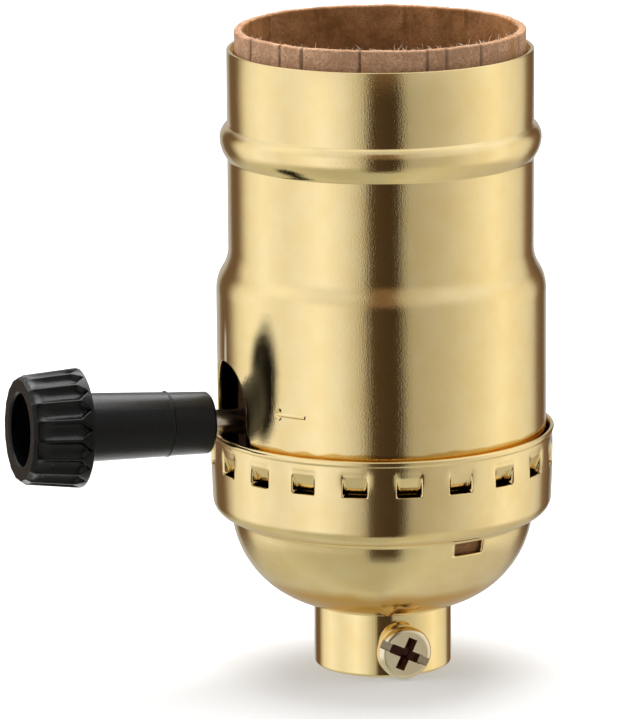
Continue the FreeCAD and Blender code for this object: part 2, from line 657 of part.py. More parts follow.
def screw(name, head_r, head_t, shank_r, shank_long, crossed=False):
    """A pan head screw standing on its own Z axis, head upwards from zero."""
    body = new_body(name + "Blank")
    turned(body, name + "Turn", [
        ("0", "-(%s)" % shank_long),
        ("%s - screw_gap" % shank_r, "-(%s)" % shank_long),
        (shank_r, "screw_point - (%s)" % shank_long),
        (shank_r, "0"),
        (head_r, "0"),
        (head_r, "%s * %s" % (head_t, PAN_SIDE)),
        ("%s * %s" % (head_r, PAN_CROWN_R), "%s * %s" % (head_t, PAN_CROWN_Z)),
        ("0", head_t),
    ])
    above = "%s + overshoot" % head_t
    tools = [box(name + "Slot", "-%s" % head_r, head_r, "-cut_wide / 2", "cut_wide / 2",
                 "%s - cut_deep" % head_t, above)]
    if crossed:
        reach = "%s * %s" % (head_r, CROSS_REACH)
        tools.append(box(name + "Cross", "-cut_wide / 2", "cut_wide / 2", "-%s" % reach, reach,
                         "%s - cut_deep * %s" % (head_t, CROSS_DEEP), above))
    return cut(name, body, *tools)


# Set screw: grips the pipe through the neck's wall
set_long = "neck_r + set_standoff - neck_bore_r - set_tip_gap"
set_screw = screw("SetScrew", "set_head_r", "set_head_t", "set_shank_r", set_long, crossed=True)
node(around(set_screw, "set_turn", "neck_r + set_standoff", "set_z", "set_spin"), "set_screw")

# Knob: moulded hub with a fluted, hollow head
knob = new_body("Knob")
turned(knob, "KnobTurn", [
    ("shaft_r + cam_play", "knob_in"),
    ("knob_hub_r - knob_edge", "knob_in"),
    ("knob_hub_r", "knob_in + knob_edge"),
    ("knob_hub_r + knob_ring_out / 2", "knob_ring_s - knob_ring_out"),
    ("knob_hub_r + 2 * knob_ring_out", "knob_ring_s"),
    ("knob_hub_r + knob_ring_out", "knob_ring_s + knob_ring_out"),
    ("knob_hub_out_r", "knob_head_s - knob_flare"),
    ("knob_hub_out_r + knob_flare", "knob_head_s", "knob_flare"),
    ("knob_head_r", "knob_head_s"),
    ("knob_head_r", "knob_head_s + flute_start"),
    ("knob_face_r", "knob_out - knob_chamfer"),
    ("knob_face_r - knob_chamfer", "knob_out"),
    ("knob_hole_r", "knob_out"),
    ("knob_hole_r", "knob_floor_s"),
    ("shaft_r + cam_play", "knob_floor_s"),
])


def flute_outline(radius):
    """A V across the knob's surface at one radius."""
    return [
        ("%s - flute_depth" % radius, "0"),
        ("%s + flute_depth" % radius, "2 * flute_half"),
        ("%s + flute_depth" % radius, "-2 * flute_half"),
    ]


flute = knob.newObject("PartDesign::SubtractiveLoft", "Flute")
flute.Profile = sketch_in(knob, "FluteRear", "XY_Plane", flute_outline("knob_head_r"),
                          "knob_head_s + flute_start")
flute.Sections = [sketch_in(knob, "FluteFront", "XY_Plane", flute_outline("knob_face_r"),
                           "knob_out + flute_over")]
flute.Ruled = True
polar(knob, "FluteRing", flute, "flute_count")
node(on_knob_axis(knob, "0"), "knob")

# Knob shaft, with the collar that keeps it from pulling out
shaft = cylinder("KnobShaft", "shaft_r", "shaft_out - shaft_in")
node(on_knob_axis(shaft, "shaft_in"), "knob_shaft")
collar_in = "room_half_x - collar_gap - collar_t"
collar_hole = on_knob_axis(cylinder("CollarHole", "shaft_r + cam_play", "collar_t + 2 * overshoot"),
                           "%s - overshoot" % collar_in)
collar_disc = on_knob_axis(cylinder("CollarDisc", "collar_r", "collar_t"), collar_in)
node(cut("ShaftCollar", collar_disc, collar_hole), "shaft_collar")

# Cam: an insulating square with rounded corners that lifts the leaf spring
cam_round = on_knob_axis(cylinder("CamRound", "cam_r", "cam_wide"), "-cam_wide / 2")
cam_square = box("CamSquare", "-cam_half", "cam_half", "-cam_half", "cam_half", "-cam_wide / 2", "cam_wide / 2")
place(cam_square, (0, 0, "knob_z", (0, -1, 0), "90 - knob_tilt"), (0, 0, 0, (0, 0, 1), 45),
      ("-cam_half", "-cam_half", "-cam_wide / 2", (0, 0, 1), 0))
cam_blank = doc.addObject("Part::Common", "CamBlank")
cam_blank.Base = cam_round
cam_blank.Tool = cam_square
cam_hole = on_knob_axis(cylinder("CamHole", "shaft_r + cam_play", "cam_wide + 2 * overshoot"),
                       "-cam_wide / 2 - overshoot")
node(cut("SwitchCam", cam_blank, cam_hole), "switch_cam")


def block(name, plain, broken, sign):
    """A round block of the switch body, from its plain end to its chamfered end."""
    body = new_body(name)
    turned(body, name + "Turn", [
        ("0", plain),
        ("block_r", plain),
        ("block_r", "%s - (%sblock_chamfer)" % (broken, sign)),
        ("block_r - block_chamfer", broken),
        ("0", broken),
    ])
    return body


def chamber(name):
    """The room for cam and contacts."""
    return box(name, "-room_half_x", "room_half_x", "-room_half_y", "room_half_y", "room_low_z", "room_top_z")


def shaft_bore(name):
    """The bore that the shaft turns in, through one wall and into the other."""
    bore = cylinder(name, "shaft_r + shaft_gap", "block_r + 2 * overshoot - shaft_in")
    return on_knob_axis(bore, "shaft_in - shaft_gap")


def body_screw_tools(name, low, radius, tall):
    """Two cylinders at the places of the body screws."""
    return [cylinder(name + side, radius, tall, "%sbody_screw_x" % sign, "%sbody_screw_y" % sign, low)
            for side, sign in (("Near", "-"), ("Far", ""))]


def rivet_tools(name, low, radius, tall):
    """Two cylinders at the places of the shell rivets."""
    return [cylinder(name + side, radius, tall, "0", "%srivet_y" % sign, low)
            for side, sign in (("Front", "-"), ("Back", ""))]


def terminal_hole(name, side, radius, deep):
    """A hole for a terminal screw, from outside the flat inwards."""
    tool = cylinder(name, radius, "%s + flat_deep + overshoot" % deep)
    return around(tool, side, "flat_y + plate_t - (%s)" % deep, "terminal_z")


# Switch base: lower half of the phenolic body, with the chamber and the terminals' flats
base_blank = block("BaseBlank", "split_z", "base_low_z", "-")
hot_flat = box("HotFlat", "-flat_half", "flat_half", "-block_r - overshoot", "-flat_y",
               "flat_low_z", "split_z + overshoot")
cold_flat = box("ColdFlat", "-flat_half", "flat_half", "flat_y", "block_r + overshoot",
                "flat_low_z", "split_z + overshoot")
tab_slot = box("TabSlot", "-tab_half - plate_play", "tab_half + plate_play", "-flat_y - overshoot",
               "-room_half_y + overshoot", "room_low_z", "room_low_z + plate_t + plate_play")
base_tools = [chamber("BaseRoom"), shaft_bore("BaseBore"), hot_flat, cold_flat, tab_slot]
base_tools += body_screw_tools("BaseHole", "base_low_z - overshoot", "body_screw_r + screw_gap", "split_z")
base_tools += body_screw_tools("BaseSink", "base_low_z - overshoot", "body_head_r + 2 * screw_gap",
                               "overshoot + body_head_t + sink_play")
base_tools += [terminal_hole("BaseHot", "0", "terminal_r + screw_gap", "terminal_deep + 2 * screw_gap"),
               terminal_hole("BaseCold", "180", "terminal_r + screw_gap", "terminal_deep + 2 * screw_gap")]
node(cut("SwitchBase", base_blank, *base_tools), "switch_base")

# Switch housing: upper half, which carries the screw shell
house_blank = block("HouseBlank", "split_z", "block_top_z", "")
house_boss = cylinder("HouseBoss", "boss_r", "boss_tall + overshoot", z="block_top_z - overshoot")
house_flat = box("HouseFlat", "-flat_half", "flat_half", "flat_y", "block_r + overshoot",
                 "split_z - overshoot", "block_top_z + overshoot")
strap_seat = box("StrapSeat", "-plate_half - plate_play", "plate_half + plate_play", "strap_in_y - plate_play",
                 "block_r", "block_top_z - plate_t", "block_top_z + overshoot")
house_tools = [chamber("HouseRoom"), shaft_bore("HouseBore"), house_flat, strap_seat]
house_tools += body_screw_tools("HouseHole", "split_z - overshoot", "body_screw_r + screw_gap",
                                "overshoot + body_screw_reach + sink_play")
house_tools += rivet_tools("HouseRivet", "split_z - overshoot", "rivet_r + rivet_play", "block_top_z")
house_tools += rivet_tools("HouseSink", "split_z - overshoot", "rivet_head_r + 2 * rivet_play",
                           "overshoot + sink_z - split_z")
house_tools += [cylinder("HouseCentre", "rivet_r + rivet_play", "block_top_z", z="split_z")]
node(cut("SwitchHousing", join("HouseBody", house_blank, house_boss), *house_tools), "switch_housing")

# Screw shell: drawn aluminium cup for the bulb, narrower below its thread
bulb_cup = spun("ScrewShellCup", [
    ("bulb_hole_r", "block_top_z"),
    ("bulb_foot_r - bulb_corner", "block_top_z"),
    ("bulb_foot_r", "block_top_z + bulb_corner", "-bulb_corner"),
    ("bulb_foot_r", "bulb_foot_z"),
    ("bulb_r + bulb_t", "bulb_foot_z + bulb_step"),
    ("bulb_r + bulb_t", "bulb_top_z - bulb_flare"),
    ("bulb_r + bulb_t + bulb_flare", "bulb_top_z"),
], "bulb_t")
cup_holes = rivet_tools("CupRivet", "block_top_z - overshoot", "rivet_r + rivet_play", "2 * overshoot + bulb_t")
node(cut("ScrewShell", bulb_cup, *cup_holes), "screw_shell")

# Centre contact: a brass tongue folded back over its own foot
centre_tongue = folded("CentreTongue", [
    ("tongue_long", "foot_z"),
    ("-tongue_long", "foot_z"),
    ("-tongue_long - tongue_bend", "foot_z + tongue_bend", "-tongue_bend"),
    ("-tongue_long", "foot_z + 2 * tongue_bend", "-tongue_bend"),
    ("0", "foot_z + tongue_rise"),
    ("tongue_tip", "foot_z + tongue_rise - 2 * tongue_t"),
], "-tongue_t", "tongue_half", UPRIGHT, Vector(0, 1, 0))
tongue_hole = cylinder("TongueHole", "rivet_r + rivet_play", "overshoot + tongue_t + sink_play",
                       z="foot_z - overshoot")
node(cut("CentreContact", centre_tongue, tongue_hole), "centre_contact")


def rivet(name, low, high, x="0", y="0"):
    """A rivet with a head at each end, between the faces that it grips."""
    shank = cylinder(name + "Shank", "rivet_r", "(%s) - (%s)" % (high, low), x, y, low)
    under = cylinder(name + "Under", "rivet_head_r", "rivet_head_t", x, y, "%s - rivet_head_t" % low)
    over = cylinder(name + "Over", "rivet_head_r", "rivet_head_t", x, y, high)
    return join(name, shank, under, over)


# Rivets: one through the middle to the fixed contact, two that hold the screw shell
node(rivet("CentreRivet", "room_top_z - contact_t", "foot_z + tongue_t"), "centre_rivet")
node(group("ShellRivets",
           rivet("FrontRivet", "sink_z", "block_top_z + bulb_t", y="-rivet_y"),
           rivet("BackRivet", "sink_z", "block_top_z + bulb_t", y="rivet_y")), "shell_rivets")

# Neutral strap: runs down the housing's flat from the screw shell to its terminal
strap = folded("StrapFold", [
    ("strap_in_y", "block_top_z"),
    ("flat_y + plate_t", "block_top_z"),
    ("flat_y + plate_t", "plate_low_z"),
], "plate_t", "plate_half", SIDEWAYS, Vector(1, 0, 0))
strap_rivet = cylinder("StrapRivet", "rivet_r + rivet_play", "plate_t + 2 * overshoot", y="rivet_y",
                       z="block_top_z - plate_t - overshoot")
strap_screw = terminal_hole("StrapScrew", "180", "terminal_r + screw_gap", "plate_t + overshoot")
node(cut("NeutralStrap", strap, strap_rivet, strap_screw), "neutral_strap")

# Hot terminal: a plate on the other flat, with a tab into the chamber
hot_plate = folded("HotFold", [
    ("-flat_y - plate_t", "plate_top_z"),
    ("-flat_y - plate_t", "room_low_z"),
    ("-room_half_y + spring_root / 2", "room_low_z"),
], "-plate_t", "tab_half", SIDEWAYS, Vector(1, 0, 0))
hot_screw_hole = terminal_hole("HotScrewHole", "0", "terminal_r + screw_gap", "plate_t + overshoot")
node(cut("HotTerminal", hot_plate, hot_screw_hole), "hot_terminal")

# Terminal screws, brass on the hot side and silver on the neutral side
for piece, turn in (("hot_screw", "0"), ("neutral_screw", "180")):
    title = piece.title().replace("_", "")
    pan = screw(title, "terminal_head_r", "terminal_head_t", "terminal_r", "terminal_deep")
    node(around(pan, turn, "flat_y + plate_t", "terminal_z"), piece)

# Leaf spring on the tab, and the fixed contact that it meets
leaf = folded("LeafFold", [
    ("-room_half_y + contact_gap", "tab_top_z"),
    ("-room_half_y + spring_root", "tab_top_z"),
    ("0", "tab_top_z + spring_rise"),
    ("contact_in_y + contact_reach / 2", "tab_top_z + spring_rise"),
], "-spring_t", "spring_half", SIDEWAYS, Vector(1, 0, 0))
node(leaf, "contact_spring")
HOOK_Z = "(tab_top_z + spring_rise + spring_t + contact_gap)"
hook = folded("HookFold", [
    ("-rivet_head_r - contact_t", "room_top_z"),
    ("room_half_y - contact_side", "room_top_z"),
    ("room_half_y - contact_side", HOOK_Z),
    ("contact_in_y", HOOK_Z),
], "contact_t", "spring_half", SIDEWAYS, Vector(1, 0, 0))
hook_hole = cylinder("HookHole", "rivet_r + rivet_play", "3 * contact_t", z="room_top_z - 2 * contact_t")
node(cut("FixedContact", hook, hook_hole), "fixed_contact")


def body_screw(name, sign):
    """A long screw from under the base into the housing, head downwards."""
    blank = screw(name, "body_head_r", "body_head_t", "body_screw_r",
                  "body_screw_top_z - base_low_z - body_head_t")
    move = ("%sbody_screw_x" % sign, "%sbody_screw_y" % sign, "base_low_z + body_head_t", (1, 0, 0), 180)
    return place(blank, move)


node(group("BodyScrews", body_screw("NearScrew", "-"), body_screw("FarScrew", "")), "body_screws")

doc.recompute()

for obj in doc.Objects:
    if "Invalid" in obj.State or "Error" in obj.State:
        raise RuntimeError("%s failed: %s" % (obj.Name, obj.State))

os.makedirs("parts", exist_ok=True)
for piece in NODES:
    shape = piece.Shape
    if shape.isNull() or not shape.isValid():
        raise RuntimeError("%s has no valid shape" % piece.Label)
    shape.exportStep("parts/%s.step" % piece.Label)
    print("%-16s solids %d  volume %9.2f mm3" % (piece.Label, len(shape.Solids), shape.Volume))
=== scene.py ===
"""Looks of the turn knob lamp socket: detailed pieces, materials, light and camera.

Lengths are written in millimetres and turned into metres where meshes are made.
The socket's axis is Z, the knob points along -X, and -Y is the front.
"""
import math

import bmesh
import bpy
import numpy as np
from mathutils import Matrix, Vector


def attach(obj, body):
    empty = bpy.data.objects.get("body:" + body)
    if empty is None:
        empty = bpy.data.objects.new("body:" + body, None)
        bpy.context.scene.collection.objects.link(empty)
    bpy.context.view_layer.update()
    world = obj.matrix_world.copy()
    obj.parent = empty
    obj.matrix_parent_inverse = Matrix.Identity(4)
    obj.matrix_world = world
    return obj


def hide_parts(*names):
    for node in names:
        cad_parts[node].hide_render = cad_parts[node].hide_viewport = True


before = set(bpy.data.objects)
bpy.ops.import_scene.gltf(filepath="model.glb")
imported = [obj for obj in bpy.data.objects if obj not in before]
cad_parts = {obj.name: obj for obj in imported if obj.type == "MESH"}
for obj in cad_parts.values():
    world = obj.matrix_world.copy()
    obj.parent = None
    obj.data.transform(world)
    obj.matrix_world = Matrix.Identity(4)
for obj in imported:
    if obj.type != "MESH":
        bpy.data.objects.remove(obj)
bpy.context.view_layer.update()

MM = 0.001
TURN = 2 * math.pi
CORNERS = ((-1, -1), (1, -1), (1, 1), (-1, 1))

# Outer shell: drawn sheet with a snap groove, a shoulder, a bead and the knob's notch
SHEET_T = 0.45
SHELL_R = 16.75
SHELL_BASE_R = 18.12
SHELL_FOOT = 19.8
SHELL_TOP = 69.04
GROOVE_DEEP = 0.47
GROOVE_LOW = 21.6
GROOVE_HIGH = 26.3
GROOVE_SLOPE = 0.7
SHOULDER_LOW = 42.4
SHOULDER_HIGH = 47.1
SHOULDER_BEND = 4.3735
BEAD_OUT = 0.83
BEAD_LOW = 57.07
BEAD_WIDEST = 59.3
BEAD_HIGH = 60.8
BEAD_LOW_BEND = 3.41
BEAD_HIGH_BEND = 1.77
NOTCH_HALF = 4.8
NOTCH_TOP = 35.44
NOTCH_FLARE = 0.8
EDGE_ROUND = 0.1
EDGE_REACH = 0.12

# Raised arrow on the shell
ARROW_TURN = -53.5
ARROW_Z = 31.35
ARROW_HALF = 2.0
ARROW_WIDE = 0.6
ARROW_RISE = 0.27
ARROW_SUNK = 0.06
BARB_LONG = 0.85
BARB_HALF = 0.5

# Cap: bowl, ledge and band. Its rim also marks where the notch in the shell widens
CAP_HOLE_R = 6.25
CAP_FLOOR = 7.6
BOWL_FOOT_R = 9.2
BOWL_MID_R = 14.0
BOWL_MID_Z = 10.84
BOWL_TOP_R = 16.6
BOWL_TOP_Z = 16.9
BOWL_BEND = 11.0
LEDGE_R = 16.9
LEDGE_Z = 17.3
BAND_LOW_R = 18.7
BAND_LOW_Z = 19.1
BAND_BEND = 1.8
CAP_R = 18.85
CAP_RIM = 26.99
CAP_FLARE = 0.2
BAND_ROWS = (19.7, 21.2, 22.6, 22.85, 22.97)

# Louvres of the cap, with the rows and columns that follow their edges
LOUVRES = 20
LOUVRE_TURN = 7.0
LOUVRE_HALF = 1.35
LOUVRE_LOW = 23.0
LOUVRE_HIGH = 25.3
LOUVRE_TIP = 23.3
LOUVRE_DEEP = 0.95
LOUVRE_CURVE = 1.3
LOUVRE_ROWS = (23.4, 23.6, 23.9, 24.3, 24.7, 25.0, 25.2, 25.35, 25.5, 25.7, 26.0)
LOUVRE_COLUMNS = (0.45, 0.9, 1.27, 1.34, 1.41, 1.5, 1.75, 2.3)
DIMPLE_DEEP = 0.07

# Slot under the cap's ledge, and the small lump on the bowl's foot
SLOT_TURN = 15.2
SLOT_HALF_TURN = 6.2
SLOT_LOW = 15.4
SLOT_HIGH = BOWL_TOP_Z
NUB_TURN = -16.6
NUB_OUT = 0.42
NUB_HALF = 0.55
NUB_LOW = 8.6
NUB_HIGH = 9.3
NUB_FROM_R = 9.4

# Fibre bowl in the cap
CAP_LINER_T = 0.4
CAP_LINER_GAP = SHEET_T + 0.1
CAP_LINER_HOLE_R = 7.2
CAP_LINER_TOP = 21.0

# Neck: a flange lies under the cap's floor and a staked rim above it
NECK_BORE_R = 4.75
NECK_R = 7.6
NECK_TALL = 7.1
NECK_EDGE = 0.35
NECK_WAIST_R = 6.2
NECK_PITCH = 0.94
NECK_THREAD_DEEP = 0.2
FLANGE_OUT = 0.6
FLANGE_T = 0.5
STAKE_R = 7.2
STAKE_LOW = NECK_TALL + 0.95
STAKE_HIGH = NECK_TALL + 1.5
STAKE_TOP = NECK_TALL + 2.05

# Set screw, along its own axis from below its head
SET_TURN = math.radians(-4.5)
SET_SPIN = math.radians(-25)
SET_Z = 3.17
SET_OUT = 8.0
SET_HEAD_R = 2.97
SET_HEAD_T = 1.7
SET_SHANK_R = 2.05
SET_HOLE_R = 2.1
SET_TIP = -3.05
SET_SLOT_WIDE = 0.95
SET_SLOT_DEEP = 0.62
CROSS_HALF_LONG = 1.9
CROSS_HALF_WIDE = 0.55
CROSS_DEEP = 1.25
CROSS_CORE_R = 0.72

# Cardboard liner: rolled tube with creases, a frayed rim and loose fibres
LINER_R = 15.9
LINER_T = 0.9
LINER_FOOT = 20.1
LINER_TOP = 71.23
LINER_HIDDEN_TOP = 68.5
LINER_SEEN_FROM = 68.9
LINER_NOTCH_HALF = 6.4
LINER_NOTCH_TOP = 38.5
LINER_EDGE_ROUND = 0.14
CREASES = (-82, -63, -52, -28, -1.6, 6.5, 23, 50, 88, 121, 150, 187, 214, 243)
CREASE_DEEP = 0.16
CREASE_TURN = 0.7
# Half width in degrees of the painted shade line along each crease
CREASE_SHADE_TURN = 0.45
FRAY_TALL = 0.6
FRAY_RISE = 0.05
FRAY_WAVES = 24
FIBRES = 260
FIBRE_TURNS = (-52, -30, -8, 12, 40, 90, 150, 210, 270)
FIBRE_SPREAD = 12

# Screw shell for the lamp
CUP_HOLE_R = 4.9
CUP_FLOOR = 41.5
CUP_LOW_R = 12.25
CUP_STEP_Z = 47.1
CUP_R = 12.75
CUP_MOUTH_R = 13.25
CUP_TOP = 63.5
CUP_T = 0.35
CUP_CORNER = 0.85
THREAD_PITCH = 3.629
THREAD_DEEP = 0.36
THREAD_LOW = 48.2
THREAD_HIGH = 62.0
THREAD_FADE = 2.0

# Knob, along its own axis: a hub with a seam ring, and a fluted head with a hollow
KNOB_Z = 27.9
KNOB_TILT = math.radians(2.5)
KNOB_BORE_R = 1.42
KNOB_BACK = 20.2
HUB_R = 3.49
HUB_FRONT_R = 3.75
HUB_FRONT = 34.1
SEAM_RING = 25.1
SEAM_RING_R = 3.66
HEAD_R = 6.5
HEAD_BACK = 35.35
HEAD_FRONT = 41.35
HEAD_TAPER = 0.58
HEAD_ROWS = (35.12, 35.35, 35.44, 35.55, 35.68, 35.82, 35.96, 36.1, 36.25, 36.4, 36.55, 37.2, 38.2, 39.3,
             40.4, 41.15)
FLUTES = 18
FLUTE_DEEP = 0.66
FLUTE_COLUMNS = (0, 0.08, 0.16, 0.23, 0.29, 0.34, 0.38, 0.415, 0.445, 0.47, 0.5)
KNOB_FACE = 41.71
HOLLOW_R = 3.95
HOLLOW_FLOOR = 35.9

# Camera, fitted to the outlines of the photograph, then turned about the socket's axis
VIEW_TURN = math.radians(-20)
CAMERA_AT = (0, -651.27, 178.51)
CAMERA_PITCH = math.radians(12.49)
CAMERA_YAW = math.radians(-0.596)
CAMERA_ROLL = math.radians(-0.39)
CAMERA_LENS = 303.4
SENSOR_TALL = 36

# What the metal sees, by degrees from the camera's side towards its right: level and tint
WHITE = (1, 1, 1)
CREAM = (1, 0.965, 0.87)
BROWN = (1, 0.66, 0.42)
GREY = (1, 0.96, 0.93)
OLIVE = (1, 1, 0.84)
GROUND_STOPS = (
    (-180, 0.5, CREAM), (-90, 0.62, OLIVE), (-52, 0.52, OLIVE), (0, 0.48, OLIVE),
    (40, 0.65, OLIVE), (90, 0.63, CREAM), (180, 0.5, CREAM),
)
LOW_STOPS = (
    (-180, 0.5, CREAM), (-90, 0.62, OLIVE), (-52, 0.52, OLIVE), (-14, 0.48, OLIVE),
    (-9, 0.08, BROWN), (13, 0.06, BROWN), (18, 0.5, OLIVE), (40, 0.65, OLIVE),
    (90, 0.63, CREAM), (180, 0.5, CREAM),
)
WALL_STOPS = (
    (-180, 0.5, GREY), (-158, 0.5, GREY), (-152, 0.16, BROWN), (-134, 0.17, BROWN),
    (-120, 0.85, CREAM), (-100, 1.06, WHITE), (-74, 0.9, WHITE), (-44, 1.08, WHITE),
    (-28, 0.88, WHITE), (-12, 0.5, CREAM), (-8, 0.08, BROWN), (14, 0.05, BROWN),
    (18, 0.42, CREAM), (50, 0.6, CREAM), (94, 1.06, CREAM), (126, 0.78, CREAM),
    (134, 0.58, CREAM), (140, 0.24, BROWN), (148, 0.18, BROWN), (158, 0.12, BROWN),
    (165, 0.5, GREY), (180, 0.5, GREY),
)
CEILING_STOPS = (
    (-180, 0.8, WHITE), (-90, 1.08, WHITE), (-30, 0.8, WHITE), (-13, 0.5, CREAM),
    (-9, 0.2, BROWN), (13, 0.2, BROWN), (18, 0.5, CREAM), (60, 0.8, WHITE),
    (110, 1.1, WHITE), (180, 0.8, WHITE),
)
ZENITH_STOPS = (
    (-180, 0.8, WHITE), (-90, 1.0, WHITE), (0, 0.6, WHITE), (60, 0.75, WHITE),
    (110, 1.0, WHITE), (180, 0.8, WHITE),
)

# The climb in degrees over which each ring of stops takes over from the one below it
RINGS = ((-47, -33, LOW_STOPS), (-34, -18, WALL_STOPS), (16, 36, CEILING_STOPS), (54, 68, ZENITH_STOPS))

# Lamps: name, degrees from the camera's side, climb, distance and size in metres, watts
LAMPS = (
    ("top_box", 180, 66, 0.55, (0.5, 0.5), 6.0),
    ("left_box", -75, 28, 0.6, (0.3, 0.5), 1.5),
    ("right_box", 80, 28, 0.6, (0.3, 0.5), 0.8),
)
KNOB_LAMPS = (
    ("knob_top", 175, 65, 0.5, (0.6, 0.6), 4.5),
    ("knob_low", 175, -45, 0.5, (0.6, 0.6), 1.2),
)
LAMP_AIM = (0, 0, 0.035)
FLOOR_REACH = 1200
FLOOR_GREY = (0.52, 0.52, 0.52, 1)
FLOOR_GLOW = 0.26

# Grain of the metals in features per millimetre, and colours painted onto them: shade in the screw's recess,
# an orange tint and shade on the shell at the cap's rim, and reflection low in the cap's bowl
GRAIN = 6.5
# Painted shade in the screw's cross recess, given at half strength to the walls of its slot
RECESS_PAINTED_SHADE = (0.055, 0.022, 0.018)
# Shell: an orange tint from just above the cap's rim downwards, and painted shade below 26.25 mm inside the
# cap, where the joint lies in shade
SHELL_SHADE_AND_BAND = ((27.75, 0.3, 0.8, (0.60, 0.31, 0.03)), (26.25, 0.1, 0.75, (0.10, 0.06, 0.02)))
# Cap: painted reflection of the neck and the shaded floor, an orange darkening low in the bowl
CAP_PAINTED_REFLECTION = ((11.4, 1.5, 0.82, (0.68, 0.36, 0.04)),)

# Materials of the nodes that stay as the frame has them
NODE_SKINS = {
    "turned": ("hot_screw",),
    "shaft": ("knob_shaft",),
    "steel": ("neutral_screw", "body_screws", "shaft_collar"),
    "phenolic": ("switch_cam", "switch_base", "switch_housing"),
    "contact": ("centre_contact", "centre_rivet", "shell_rivets", "neutral_strap", "hot_terminal",
                "contact_spring", "fixed_contact"),
}


def place(name, data):
    """A new object in the scene."""
    obj = bpy.data.objects.new(name, data)
    bpy.context.scene.collection.objects.link(obj)
    return obj


def finish_mesh(name, points, faces, smooth=True):
    """A mesh object from points in millimetres."""
    mesh = bpy.data.meshes.new(name)
    mesh.from_pydata([tuple(p) for p in np.asarray(points) * MM], [], faces)
    mesh.validate()
    mesh.update()
    mesh.polygons.foreach_set("use_smooth", [smooth] * len(mesh.polygons))
    return place(name, mesh)


def sharpen(obj, degrees):
    """Keep edges that bend more than an angle crisp."""
    obj.data.set_sharp_from_angle(angle=math.radians(degrees))
    return obj


def trace(points, fillet, steps=8):
    """A smooth line through points of radius, height and bend, with rounded corners.

    The bend is the radius of the arc that leads to the point, positive to the left
    of the way, or nothing for a straight span.
    """
    dense = [np.array(points[0][:2], float)]
    for before, after in zip(points, points[1:]):
        start, end = np.array(before[:2], float), np.array(after[:2], float)
        bend = after[2] if len(after) > 2 else None
        if bend:
            chord = end - start
            half = np.hypot(*chord) / 2
            left = np.array([-chord[1], chord[0]]) / (2 * half)
            depth = math.sqrt(bend * bend - half * half)
            centre = (start + end) / 2 - left * math.copysign(depth, bend)
            first = math.atan2(*(start - centre)[::-1])
            sweep = 2 * math.asin(half / abs(bend)) * -math.copysign(1, bend)
            for step in range(1, steps + 1):
                angle = first + sweep * step / steps
                dense.append(centre + abs(bend) * np.array([math.cos(angle), math.sin(angle)]))
        else:
            dense.append(end)
    return np.array(round_corners(dense, fillet))


def round_corners(line, fillet, least=math.radians(12), steps=4):
    """Replace each sharp corner of a line by a small arc, and hold the spans beside it straight."""
    result = [line[0]]
    for before, corner, after in zip(line, line[1:], line[2:]):
        back, ahead = before - corner, after - corner
        long_back, long_ahead = np.hypot(*back), np.hypot(*ahead)
        turn = math.acos(np.clip(np.dot(-back, ahead) / (long_back * long_ahead), -1, 1))
        if turn < least:
            result.append(corner)
            continue
        reach = min(fillet * math.tan(turn / 2), 0.4 * long_back, 0.4 * long_ahead)
        enter = corner + back / long_back * reach
        leave = corner + ahead / long_ahead * reach
        for step in range(steps + 1):
            share = step / steps
            result.append((1 - share) ** 2 * enter + 2 * share * (1 - share) * corner + share ** 2 * leave)
    result.append(line[-1])
    return hold_spans(result)


def hold_spans(line, near=0.12, long=0.8):
    """Add points close to both ends of long spans, so that they shade flat."""
    result = [line[0]]
    for before, after in zip(line, line[1:]):
        length = np.hypot(*(after - before))
        if length > long:
            result.append(before + (after - before) * near / length)
            result.append(after - (after - before) * near / length)
        result.append(after)
    return result


def offset(line, distance):
    """The line moved sideways, to its left for a positive distance."""
    ahead = np.gradient(line, axis=0)
    ahead /= np.hypot(ahead[:, 0], ahead[:, 1])[:, None]
    return line + distance * np.stack([-ahead[:, 1], ahead[:, 0]], axis=1)


def spin(radius, height, azimuth):
    """Points on circles round Z. The azimuth runs from -Y towards +X."""
    return np.stack([radius * np.sin(azimuth), -radius * np.cos(azimuth), height + 0 * azimuth], axis=-1)


def sheet_mesh(name, outer, inner, keep=None, closed=True, shut=None):
    """A two sided sheet from its outer and inner grids of points, with walls at every edge.

    Faces that aren't kept are openings. From the row called shut upwards, the sides of an
    open grid meet and get no wall.
    """
    rows, columns = outer.shape[:2]
    size = rows * columns
    spans = columns if closed else columns - 1
    faces = []

    def at(row, column):
        return row * columns + column % columns

    def kept(row, column):
        if not 0 <= row < rows - 1 or not (closed or 0 <= column < spans):
            return False
        return keep is None or bool(keep[row, column % spans])

    for row in range(rows - 1):
        for column in range(spans):
            if not kept(row, column):
                continue
            a, b = at(row, column), at(row, column + 1)
            c, d = at(row + 1, column + 1), at(row + 1, column)
            faces.append((a, b, c, d))
            faces.append((a + size, d + size, c + size, b + size))
            edges = [(b, a, row - 1, column), (d, c, row + 1, column)]
            if shut is None or row < shut:
                edges += [(a, d, row, column - 1), (c, b, row, column + 1)]
            faces.extend((p, q, q + size, p + size) for p, q, *beyond in edges if not kept(*beyond))
    return finish_mesh(name, np.concatenate([outer, inner]).reshape(-1, 3), faces)


def ring_mesh(name, grid):
    """A closed profile spun round its axis, from its grid of points."""
    rows, columns = grid.shape[:2]
    faces = []
    for row in range(rows):
        for column in range(columns):
            here, above, after = row * columns, (row + 1) % rows * columns, (column + 1) % columns
            faces.append((here + column, here + after, above + after, above + column))
    return finish_mesh(name, grid.reshape(-1, 3), faces)


def weld(obj, gap=1e-6):
    """Merge points that fall together, as on the axis."""
    shape = bmesh.new()
    shape.from_mesh(obj.data)
    bmesh.ops.remove_doubles(shape, verts=shape.verts, dist=gap)
    bmesh.ops.recalc_face_normals(shape, faces=shape.faces)
    shape.to_mesh(obj.data)
    shape.free()
    return obj


